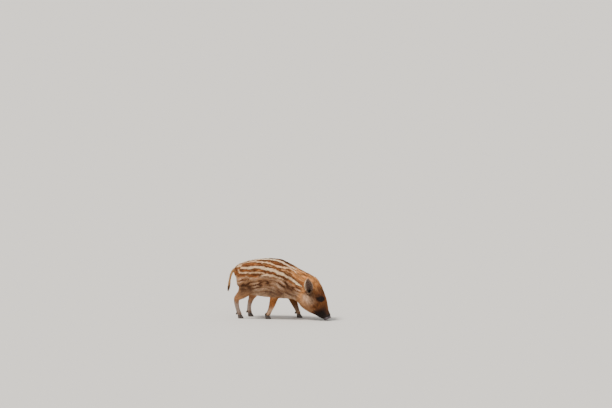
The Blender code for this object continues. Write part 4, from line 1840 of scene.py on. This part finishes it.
class Nodes:
    """The nodes of one finish."""

    def __init__(self, name: str) -> None:
        """Makes the material, with its one shader.

        Args:
            name: The material's name.
        """
        self.material = bpy.data.materials.new(name)
        self.material.use_nodes = True
        self.tree = self.material.node_tree
        self.shader = self.tree.nodes["Principled BSDF"]

    def add(
        self, kind: str, settings: dict[str, object], inputs: dict[str | int, object],
        output: str | int = 0,
    ) -> Signal:
        """Adds a node.

        Args:
            kind: The node's type.
            settings: Its settings. For a ramp, stops are pairs of place and colour.
            inputs: Values or signals for its sockets.
            output: Which of its outputs is wanted.

        Returns:
            That output.
        """
        node = self.tree.nodes.new(kind)
        for name, value in settings.items():
            if name == "stops":
                self._set_stops(node.color_ramp, value)
            else:
                setattr(node, name, value)
        for name, value in inputs.items():
            self._feed(node.inputs[name], value)
        return Signal(self, node.outputs[output])

    def finish(self, inputs: dict[str, object]) -> Material:
        """Gives the shader its values and signals, and returns the material."""
        for name, value in inputs.items():
            self._feed(self.shader.inputs[name], value)
        return self.material

    def attribute(self, name: str, output: str = "Color") -> Signal:
        """An attribute of the mesh."""
        return self.add("ShaderNodeAttribute", {"attribute_name": name}, {}, output)

    def noise(self, grain: float, vector: Signal | None = None, detail: float = 2.0) -> Signal:
        """Noise with lumps of a size in millimetres, about 0.5, in Object coordinates or others."""
        where = vector or self.add("ShaderNodeTexCoord", {}, {}, "Object")
        inputs = {"Vector": where, "Scale": 1 / (grain * MM), "Detail": detail}
        return self.add("ShaderNodeTexNoise", {}, inputs, "Fac")

    def mixed(self, share: Signal | float, first: object, second: object) -> Signal:
        """A mix of two colours."""
        settings = {"data_type": "RGBA"}
        return self.add("ShaderNodeMix", settings, {0: share, 6: first, 7: second}, 2)

    def times(self, colour: object, value: Signal) -> Signal:
        """A colour made lighter or darker by a value."""
        settings = {"operation": "SCALE"}
        return self.add("ShaderNodeVectorMath", settings, {0: colour, "Scale": value})

    def bumped(self, height: Signal, depth: float) -> Signal:
        """A normal from a height between 0 and 1, that many millimetres deep."""
        return self.add("ShaderNodeBump", {}, {"Height": height, "Distance": depth * MM, "Strength": 1.0})

    def _feed(self, socket: bpy.types.NodeSocket, value: object) -> None:
        """Gives a socket a signal or a value.

        Args:
            socket: The socket.
            value: A signal, a number, a vector or a colour.
        """
        if isinstance(value, Signal):
            self.tree.links.new(value.socket, socket)
        elif isinstance(value, tuple) and socket.type == "RGBA":
            socket.default_value = (*value, 1.0)[:4]
        else:
            socket.default_value = value

    @staticmethod
    def _set_stops(colour_ramp: bpy.types.ColorRamp, stops: tuple) -> None:
        """Sets the stops of a colour ramp.

        Args:
            colour_ramp: The ramp.
            stops: Each stop's place and colour.
        """
        for index, (place, colour) in enumerate(stops):
            spare = index < len(colour_ramp.elements)
            stop = colour_ramp.elements[index] if spare else colour_ramp.elements.new(place)
            stop.position = place
            stop.color = (*colour, 1.0)


@dataclass(frozen=True)
class HairFinish:
    """Dry bristly hair, in the colours of its attribute."""

    roughness: float = 0.55
    gloss: float = 0.14

    def material(self) -> Material:
        """Builds the material."""
        nodes = Nodes("hair")
        sheen = {"Roughness": self.roughness, "Specular IOR Level": self.gloss}
        return nodes.finish({"Base Color": nodes.attribute(TINT)} | sheen)


@dataclass(frozen=True)
class SkinFinish:
    """Skin: short flat hair on most of it, bare and finely wrinkled on lids, lips and snout.

    Attributes:
        strand: How wide a strand of the short hair is, in millimetres.
        wrinkle: The size of the bare skin's wrinkles.
    """

    strand: float = 0.55
    wrinkle: float = 1.1

    def material(self) -> Material:
        """Builds the finish.

        Returns:
            The material.
        """
        nodes = Nodes("skin")
        bare = nodes.attribute(BARE, "Fac")
        strands = nodes.noise(self.strand, nodes.attribute(LAY, "Vector"), 1.0)
        wrinkles = nodes.noise(self.wrinkle)
        furred = nodes.bumped(strands * (1 - bare), 0.5)
        shade = (0.7 + 0.6 * strands.stepped(0.3, 0.7)) * (1 - bare) + bare
        wrinkled = nodes.add(
            "ShaderNodeBump", {},
            {"Height": wrinkles * bare, "Distance": 0.35 * MM, "Strength": 1.0, "Normal": furred},
        )
        return nodes.finish({
            "Base Color": nodes.times(nodes.attribute(TINT), shade),
            "Roughness": 0.7 - 0.22 * bare,
            "Specular IOR Level": 0.25,
            "Normal": wrinkled,
        })


@dataclass(frozen=True)
class EyeFinish:
    """A dark brown eye with a black pupil, under a clear wet coat."""

    pupil: Colour = linear(5, 4, 4)
    iris: Colour = linear(30, 18, 13)
    rim: Colour = linear(10, 7, 7)

    def material(self) -> Material:
        """Builds the finish.

        Returns:
            The material.
        """
        nodes = Nodes("eye")
        stops = ((0.0, self.pupil), (0.16, self.pupil), (0.2, self.iris), (0.4, self.iris), (0.5, self.rim))
        colour = nodes.add("ShaderNodeValToRGB", {"stops": stops}, {0: nodes.attribute(TINT, "Fac")})
        return nodes.finish({
            "Base Color": colour,
            "Roughness": 0.3,
            "Specular IOR Level": 0.0,
            "Coat Weight": 0.3,
            "Coat Roughness": 0.03,
        })


@dataclass(frozen=True)
class DiscFinish:
    """The snout's disc: bare, pebbled, dark purple-grey and a little moist."""

    dark: Colour = linear(50, 40, 44)
    light: Colour = linear(94, 78, 82)
    pebble: float = 1.5

    def material(self) -> Material:
        """Builds the finish.

        Returns:
            The material.
        """
        nodes = Nodes("snout_disc")
        where = nodes.add("ShaderNodeTexCoord", {}, {}, "Object")
        inputs = {"Vector": where, "Scale": 1 / (self.pebble * MM)}
        pebbles = nodes.add("ShaderNodeTexVoronoi", {}, inputs, "Distance")
        patches = nodes.noise(7).stepped(0.35, 0.7)
        colour = nodes.mixed(patches, self.dark, self.light)
        # The attribute's painted shade of nostrils and back, made darker towards each pebble's edge as
        # painted shade in the creases.
        shade = nodes.attribute(TINT, "Fac") * (1.15 - 0.5 * pebbles)
        return nodes.finish({
            "Base Color": nodes.times(colour, shade),
            "Roughness": 0.34 + 0.2 * pebbles,
            "Coat Weight": 0.25,
            "Coat Roughness": 0.25,
            "Normal": nodes.bumped(1 - pebbles, 0.22),
        })


@dataclass(frozen=True)
class HornFinish:
    """Hooves and dewclaws: dark horn, with fine upright fibres and faint rings of growth."""

    dark: Colour = linear(42, 35, 32)
    light: Colour = linear(82, 70, 62)

    def material(self) -> Material:
        """Builds the finish.

        Returns:
            The material.
        """
        nodes = Nodes("horn")
        where = nodes.add("ShaderNodeTexCoord", {}, {}, "Object")
        upright = nodes.add("ShaderNodeMapping", {}, {"Vector": where, "Scale": (1.0, 1.0, 0.12)})
        level = nodes.add("ShaderNodeMapping", {}, {"Vector": where, "Scale": (0.1, 0.1, 1.0)})
        fibres = nodes.noise(0.7, upright)
        rings = nodes.noise(1.3, level)
        light = (0.45 * fibres + 0.15 * rings + 0.8 * nodes.noise(6)).stepped(0.45, 0.95)
        return nodes.finish({
            "Base Color": nodes.mixed(light, self.dark, self.light),
            "Roughness": 0.42 + 0.25 * rings,
            "Normal": nodes.bumped(0.6 * fibres + 0.25 * rings, 0.2),
        })


@dataclass(frozen=True)
class FloorFinish:
    """A plain pale matt floor."""

    colour: Colour = linear(206, 202, 196)

    def material(self) -> Material:
        """Builds the material."""
        nodes = Nodes("floor")
        return nodes.finish({"Base Color": self.colour, "Roughness": 0.95, "Specular IOR Level": 0.1})


# ---------------- eyes, snout, feet


@dataclass
class Eyeballs:
    """The two eyeballs, each with a slight bulge where it looks out, in millimetres."""

    skin: Skin
    bulge: float = 0.35
    segments: int = 56

    def build(self, material: Material) -> None:
        """Makes both balls.

        Args:
            material: Their finish.
        """
        for side, eye in self.skin.eyes.items():
            bm = bmesh.new()
            bmesh.ops.create_uvsphere(
                bm, u_segments=self.segments, v_segments=self.segments // 2, radius=eye.radius * MM
            )
            for vert in bm.verts:
                bend = vert.co.angle(Vector((0, 0, 1)))
                vert.co *= 1 + self.bulge / eye.radius * float(bell(bend, 0, 0.6))
            turn = Vector(eye.gaze).to_track_quat("Z", "Y").to_matrix().to_4x4()
            place = Matrix.Translation(Vector(eye.centre) * MM) @ turn
            bmesh.ops.transform(bm, matrix=place, verts=bm.verts)
            piece = add_piece("eyeball_" + side, bm, material, "eye_" + side)
            points, _ = mesh_arrays(piece.data)
            bend = np.arccos(np.clip(dots(unit(points - eye.centre), eye.gaze), -1, 1)) / (math.pi / 2)
            set_colours(piece.data, TINT, bend)
            LOG.info("eyeball_%s", side)


@dataclass
class SnoutDisc:
    """The bare disc at the end of the snout, with its rim, its dish and its two nostrils.

    Attributes:
        crest: The top of the snout's last cross-section, as x and z.
        keel: Its bottom.
        gap: What the CAD model leaves between snout and disc.
        rim: The roundness of its edge.
        dish: How deep its face is hollowed.
        stretch: How much taller and wider than round it is.
        sunk: How far its back runs on into the snout.
        nostril: A nostril's place above and beside the middle, its half-width, half-height and
            depth.
    """

    anatomy: Anatomy
    crest: tuple[float, float] = (245, 20.6)
    keel: tuple[float, float] = (211, 5.6)
    radius: float = 19.5
    thickness: float = 7.5
    gap: float = 0.35
    rim: float = 2.6
    dish: float = 1.1
    stretch: tuple[float, float] = (0.97, 1.03)
    sunk: float = 4.5
    sides: int = 72
    nostril: tuple[float, float, float, float, float] = (1.0, 6.8, 3.3, 4.5, 3.9)

    def build(self, material: Material) -> None:
        """Turns the disc, shapes its face and puts it at the end of the snout.

        Args:
            material: Its finish.
        """
        bm = bmesh.new()
        profile = self._profile()
        corners = [bm.verts.new((radius * MM, 0, height * MM)) for radius, height in profile]
        edges = [bm.edges.new(pair) for pair in zip(corners, corners[1:])]
        bmesh.ops.spin(
            bm, geom=corners + edges, angle=math.tau, steps=self.sides, axis=(0, 0, 1),
            cent=(0, 0, 0), use_merge=True,
        )
        bmesh.ops.remove_doubles(bm, verts=bm.verts, dist=1e-6)
        for vert in bm.verts:
            vert.co.z += self._relief(vert.co / MM) * MM
        # Painted shade for each point: dark in the nostrils and round the back, where the disc meets the
        # snout.
        painted_shades = bm.verts.layers.float.new("depth")
        for vert in bm.verts:
            vert[painted_shades] = self._shade(vert.co / MM)
        self._place(bm)
        piece = add_piece("snout_face", bm, material, "snout_disc")
        set_colours(piece.data, TINT, read(piece.data.attributes["depth"].data, "value", 1))
        LOG.info("snout_face")

    def _profile(self) -> list[tuple[float, float]]:
        """The disc's outline, from the middle of its face to the middle of its back.

        Returns:
            The outline's points, as distance from the middle and height.
        """
        half, flat = self.thickness / 2, self.radius - self.rim
        steps = np.linspace(0, 1, 22)
        profile = [(flat * t, half - self.dish * (1 - t * t) ** 2) for t in steps]
        for angle in np.linspace(90, -60, 13)[1:]:
            across, up = math.cos(math.radians(angle)), math.sin(math.radians(angle))
            profile.append((flat + self.rim * across, half * up))
        back = -half - self.sunk
        profile += [(flat + self.rim * 0.55, -half - 0.8), (flat + self.rim * 0.3, back)]
        profile += [(flat * 0.5, back), (0, back)]
        return profile

    def _relief(self, place: Vector) -> float:
        """How far the face is raised: nostrils, the groove between them, the rim.

        Args:
            place: A place on the disc.

        Returns:
            Its change of height.
        """
        if place.z < 0:
            return 0.0
        up, beside, half_width, half_height, depth = self.nostril
        x, y = place.x + up, abs(place.y) - beside
        inside = math.hypot(x / half_height, y / half_width)
        reach = math.hypot(place.x, place.y)
        height = -depth * float(ramp(1.12, 0.62, inside))
        height += 0.5 * float(bell(inside, 1.25, 0.28))
        height -= 0.45 * float(bell(y + beside, 0, 1.6)) * float(ramp(13, 8, reach))
        return height * float(ramp(self.radius - 0.8, self.radius - 3.2, reach))

    def _shade(self, place: Vector) -> float:
        """How light the disc is: painted shade, dark in the nostrils and round its back where it meets the
        snout.

        Args:
            place: A place on the disc.

        Returns:
            A share of its full colour.
        """
        up, beside, half_width, half_height, _ = self.nostril
        inside = math.hypot((place.x + up) / half_height, (abs(place.y) - beside) / half_width)
        pit = float(ramp(0.5, 1.15, inside)) if place.z > -1 else 1.0
        return (0.12 + 0.88 * pit) * (0.6 + 0.4 * float(ramp(-5, -1, place.z)))

    def _place(self, bm: bmesh.types.BMesh) -> None:
        """Puts the disc, made about the origin and facing up, on the snout.

        Args:
            bm: The disc.
        """
        crest, keel = (Vector((p[0], 0, p[1])) for p in (self.crest, self.keel))
        up = (crest - keel).normalized()
        forward = up.cross(Vector((0, 1, 0)))
        forward = forward if forward.x > 0 else -forward
        side = up.cross(forward)
        middle = (crest + keel) / 2 + forward * (self.thickness / 2 + self.gap)
        axes = Matrix((up * self.stretch[0], side * self.stretch[1], forward)).transposed()
        for vert in bm.verts:
            straight = np.array(middle + axes @ (vert.co / MM))
            placed = self.anatomy.place(straight)
            placed[2] = max(placed[2], 0.0)
            vert.co = Vector(placed) * MM


@dataclass
class Feet:
    """Hooves and dewclaws, in the places of their CAD nodes.

    Attributes:
        rings: A hoof's cross-sections, as height, the middle ahead of the foot's, half-length,
            half-width and how far they lie towards the other hoof.
        toe: How much narrower a hoof is at its toe.
        claw: A dewclaw's radius, its length and how narrow its tip is.
        tilt: How far a dewclaw is turned over backwards, in degrees.
        tucked: How far its middle lies ahead of its CAD node's rearmost place.
    """

    rings: tuple[tuple[float, float, float, float, float], ...] = (
        (0.0, 4.5, 11.6, 5.0, 0.0),
        (0.5, 4.5, 12.2, 5.5, 0.0),
        (1.4, 4.6, 12.5, 5.7, 0.0),
        (5.0, 3.0, 11.6, 5.75, 0.0),
        (9.0, 1.4, 10.8, 5.7, 0.0),
        (12.5, 0.1, 9.7, 5.5, 0.1),
        (15.0, -0.8, 8.7, 5.0, 0.4),
        (18.2, -1.6, 7.0, 3.8, 1.3),
    )
    toe: float = 0.22
    sides: int = 40
    claw: tuple[float, float, float] = (3.9, 12.5, 0.35)
    tilt: float = 200.0
    tucked: float = 6.2

    def build(self, material: Material) -> None:
        """Makes every hoof and dewclaw.

        Args:
            material: Their finish.
        """
        for end in ("forefoot", "hindfoot"):
            for side in SIDES:
                for where in ("inner", "outer"):
                    label = f"{end}_{side}_{where}"
                    towards = SIDES[side] * (-1 if where == "outer" else 1)
                    self._hoof(label, towards, material)
                    self._dewclaw(label, material)
        LOG.info("hooves and dewclaws")

    def _hoof(self, label: str, towards: int, material: Material) -> None:
        """One hoof, raised ring by ring from its sole.

        Args:
            label: Which hoof.
            towards: The side on which the other hoof lies.
            material: Its finish.
        """
        low, high = (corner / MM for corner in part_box("hoof_" + label))
        start = low.x - min(row[1] - row[2] for row in self.rings)
        middle = (low.y + high.y) / 2
        bm = bmesh.new()
        made = bmesh.ops.create_circle(bm, cap_ends=True, segments=self.sides, radius=1.0)["verts"]
        ways = [vert.co.copy() for vert in made]
        ring = list(made)
        for number, row in enumerate(self.rings):
            if number:
                face = next(f for f in ring[0].link_faces if len(f.verts) == self.sides)
                raised = bmesh.ops.extrude_face_region(bm, geom=[face])["geom"]
                if number > 1:
                    bmesh.ops.delete(bm, geom=[face], context="FACES_ONLY")
                fresh = [item for item in raised if isinstance(item, bmesh.types.BMVert)]
                ring = [min(fresh, key=lambda vert, old=old: (vert.co - old.co).length) for old in ring]
            height, centre, half_length, half_width, inwards = row
            for vert, way in zip(ring, ways):
                taper = 1 - self.toe * max(way.x, 0)
                out = half_width * way.y * taper + inwards * towards
                vert.co = Vector((start + centre + half_length * way.x, middle + out, height)) * MM
        add_piece("horn_" + label, bm, material, "hoof_" + label)

    def _dewclaw(self, label: str, material: Material) -> None:
        """One dewclaw: a blunt cone that hangs back from the leg.

        Args:
            label: Which dewclaw.
            material: Its finish.
        """
        low, high = (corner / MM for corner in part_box("dewclaw_" + label))
        radius, length, tip = self.claw
        angle = math.radians(self.tilt)
        bm = bmesh.new()
        bmesh.ops.create_uvsphere(bm, u_segments=24, v_segments=16, radius=1.0)
        for vert in bm.verts:
            narrow = 1 - (1 - tip) * float(ramp(-0.4, 1.0, vert.co.z))
            vert.co.x *= radius * narrow
            vert.co.y *= radius * narrow
            vert.co.z *= length / 2
        place = Vector((low.x + self.tucked, (low.y + high.y) / 2, (low.z + high.z) / 2))
        turn = Matrix.Translation(place) @ Matrix.Rotation(angle, 4, "Y")
        bmesh.ops.transform(bm, matrix=Matrix.Scale(MM, 4) @ turn, verts=bm.verts)
        add_piece("claw_" + label, bm, material, "dewclaw_" + label)


@dataclass
class Bristles:
    """Whiskers on the muzzle, chin and brow, and the lashes of each upper lid, as long tufts."""

    coat: Coat
    whiskers: int = 90
    lashes: int = 26
    seed: int = 77

    def build(self, material: Material) -> None:
        """Makes all of them as one piece.

        Args:
            material: Their finish.
        """
        skin = self.coat.skin
        rng = np.random.default_rng(self.seed)
        section, angle = skin.spots.section, np.abs(skin.spots.angle)
        side = bell(section, 14.3, 0.6) * bell(angle, 1.6, 0.7)
        chin = 0.6 * bell(section, 13.3, 0.7) * bell(angle, 2.6, 0.4)
        brow = 0.12 * bell(skin.eye_distance(skin.points), 15, 2) * (angle < 0.9)
        weight = (side + chin + brow) * skin.spots.of(Part.HEAD) * (section < 15.2)
        picks = rng.choice(len(weight), self.whiskers, replace=False, p=weight / weight.sum())
        lies = [skin.spots.lie[picks] + 0.9 * skin.normals[picks]]
        lengths = [13 + 9 * rng.random(self.whiskers)]
        for eye in skin.eyes.values():
            lid, lie = self._lid(eye)
            picks = np.concatenate((picks, lid))
            lies.append(lie)
            lengths.append(2.6 + 1.2 * rng.random(len(lid)))
        lie, length = unit(np.concatenate(lies)), np.concatenate(lengths)
        count = len(picks)
        tufts = Tufts(
            root=skin.points[picks],
            normal=unit(np.cross(np.cross(lie, skin.normals[picks]), lie)),
            lie=lie,
            length=length,
            width=np.full(count, 0.34),
            height=length * 0.02,
            tint=np.tile(np.array(self.coat.markings.colours.soot), (count, 1)),
            place=np.stack((np.arange(count) / count, np.zeros(count)), axis=1),
        )
        self.coat.add("bristles", Stretch.BRISTLES, tufts, True, material)

    def _lid(self, eye: Eye) -> tuple[Array, Array]:
        """Where an eye's lashes stand.

        Args:
            eye: The eye.

        Returns:
            Points of the skin along its upper lid, and the ways that the lashes point.
        """
        skin = self.coat.skin
        _, u, v, out = eye.spot(skin.points)
        edge = np.flatnonzero((np.abs(eye.outside(skin.points) - 0.5) < 0.35) & (v > 0.5) & (out > 0.2))
        wanted = np.linspace(-0.85, 0.85, self.lashes) * eye.half_length
        found = np.unique([edge[np.abs(u[edge] - spot).argmin()] for spot in wanted])
        fan = eye.along * (u[found] / eye.half_length)[:, None]
        return found, unit(eye.gaze * 0.8 + eye.upward() * 0.6 + fan * 0.7)


# ---------------- the studio


@dataclass(frozen=True)
class Studio:
    """The floor, the lights and the camera.

    Places and distances are in metres here, and angles in degrees.

    Attributes:
        floor_reach: Half the floor's length.
        distance: How far off the camera stands.
        aim_right: How far to the right of the animal's own origin it looks.
        aim_up: How far above it, both across its view.
    """

    anatomy: Anatomy
    floor_reach: float = 60.0
    azimuth: float = 10.0
    elevation: float = 8.0
    distance: float = 15.0
    lens: float = 187.8
    aim_right: float = 0.1175
    aim_up: float = 0.536

    def build(self, material: Material) -> None:
        """Sets the floor, the lights and the camera.

        Args:
            material: The floor's finish.
        """
        self._floor(material)
        self._lights()
        self._camera()

    def _floor(self, material: Material) -> None:
        """The plain floor.

        Args:
            material: Its finish.
        """
        bm = bmesh.new()
        bmesh.ops.create_grid(bm, x_segments=1, y_segments=1, size=self.floor_reach)
        mesh = bpy.data.meshes.new("floor")
        bm.to_mesh(mesh)
        bm.free()
        add_object("floor", mesh, material)

    def _lights(self) -> None:
        """A broad sun from the upper left and a bright sky all round."""
        sun = bpy.data.lights.new("broad_sun", "SUN")
        sun.energy = 4.7
        sun.angle = math.radians(16)
        sun.color = (1.0, 0.965, 0.91)
        lamp = bpy.data.objects.new("broad_sun", sun)
        bpy.context.scene.collection.objects.link(lamp)
        lamp.rotation_euler = Vector((-0.45, -0.12, 0.88)).to_track_quat("Z", "Y").to_euler()
        world = bpy.data.worlds.new("sky")
        bpy.context.scene.world = world
        world.use_nodes = True
        sky = world.node_tree.nodes["Background"]
        sky.inputs["Color"].default_value = (0.80, 0.81, 0.82, 1)
        sky.inputs["Strength"].default_value = 1.0

    def _camera(self) -> None:
        """The camera, with the animal as small and low in its view as it should be."""
        turn, rise = math.radians(self.azimuth), math.radians(self.elevation)
        back = Vector((math.sin(turn) * math.cos(rise), -math.cos(turn) * math.cos(rise), math.sin(rise)))
        right = Vector((math.cos(turn), math.sin(turn), 0))
        up = back.cross(right)
        centre = Vector(self.anatomy.shift()) * MM
        aim = centre + right * self.aim_right + up * self.aim_up
        eye = centre + back * self.distance
        lens = bpy.data.cameras.new("camera")
        lens.lens = self.lens
        lens.clip_end = 300
        camera = bpy.data.objects.new("camera", lens)
        bpy.context.scene.collection.objects.link(camera)
        camera.location = eye
        camera.rotation_euler = (eye - aim).to_track_quat("Z", "Y").to_euler()
        bpy.context.scene.camera = camera


# ---------------- everything together


def dress_skin(skin: Skin, markings: Markings, material: Material) -> None:
    """Colours the skin, and puts it in the place of the flesh nodes.

    Args:
        skin: The skin.
        markings: Its colours.
        material: Its finish.
    """
    spots = skin.spots
    bare = markings.bare(spots)
    ears = spots.of(*EARS)
    # The skin's colours are the coat's at 0.7, as painted shade under the hair; bare places then take their
    # own tones.
    tint = layered(
        markings.colour(spots) * 0.7,
        (markings.colours.soot, 0.9 * bare * (1 - ears)),
        (markings.colours.flesh, 0.25 * bare * ears),
    )
    set_colours(skin.mesh, TINT, tint)
    set_colours(skin.mesh, BARE, bare * ramp(0.6, 1.1, skin.concha(skin.points)))
    lay = np.stack((spots.along * 0.12, spots.crest, np.zeros(len(tint))), axis=1)
    for part, line in skin.limbs.items():
        away = skin.points - line.middle(skin.points)
        down = line.share(skin.points) * (line.high - line.low) * 0.12
        around = np.abs(np.arctan2(away[:, 1], away[:, 0])) * 9
        own = np.stack((down, around, np.full(len(tint), 40.0)), axis=1)
        lay = np.where((spots.of(part) > 0.5)[:, None], own, lay)
    layer = skin.mesh.attributes.new(LAY, "FLOAT_VECTOR", "POINT")
    layer.data.foreach_set("vector", (lay * MM).astype(np.float32).ravel())
    skin.mesh.polygons.foreach_set("use_smooth", np.ones(len(skin.mesh.polygons), bool))
    piece = add_object("skin", skin.mesh, material)
    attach(piece, "root")
    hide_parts(*FLESH)
    LOG.info("skin: %d triangles", len(skin.faces))


def main() -> None:
    """Builds the piglet and its studio."""
    logging.basicConfig(level=logging.INFO, format="%(message)s")
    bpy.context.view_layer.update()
    anatomy = Anatomy()
    skin = Skin(anatomy)
    skin.build()
    markings = Markings(skin)
    dress_skin(skin, markings, SkinFinish().material())
    hair = HairFinish().material()
    coat = Coat(skin, markings)
    coat.build(hair)
    Bristles(coat).build(hair)
    Eyeballs(skin).build(EyeFinish().material())
    SnoutDisc(anatomy).build(DiscFinish().material())
    Feet().build(HornFinish().material())
    Studio(anatomy).build(FloorFinish().material())


if __name__ == "__main__":
    main()
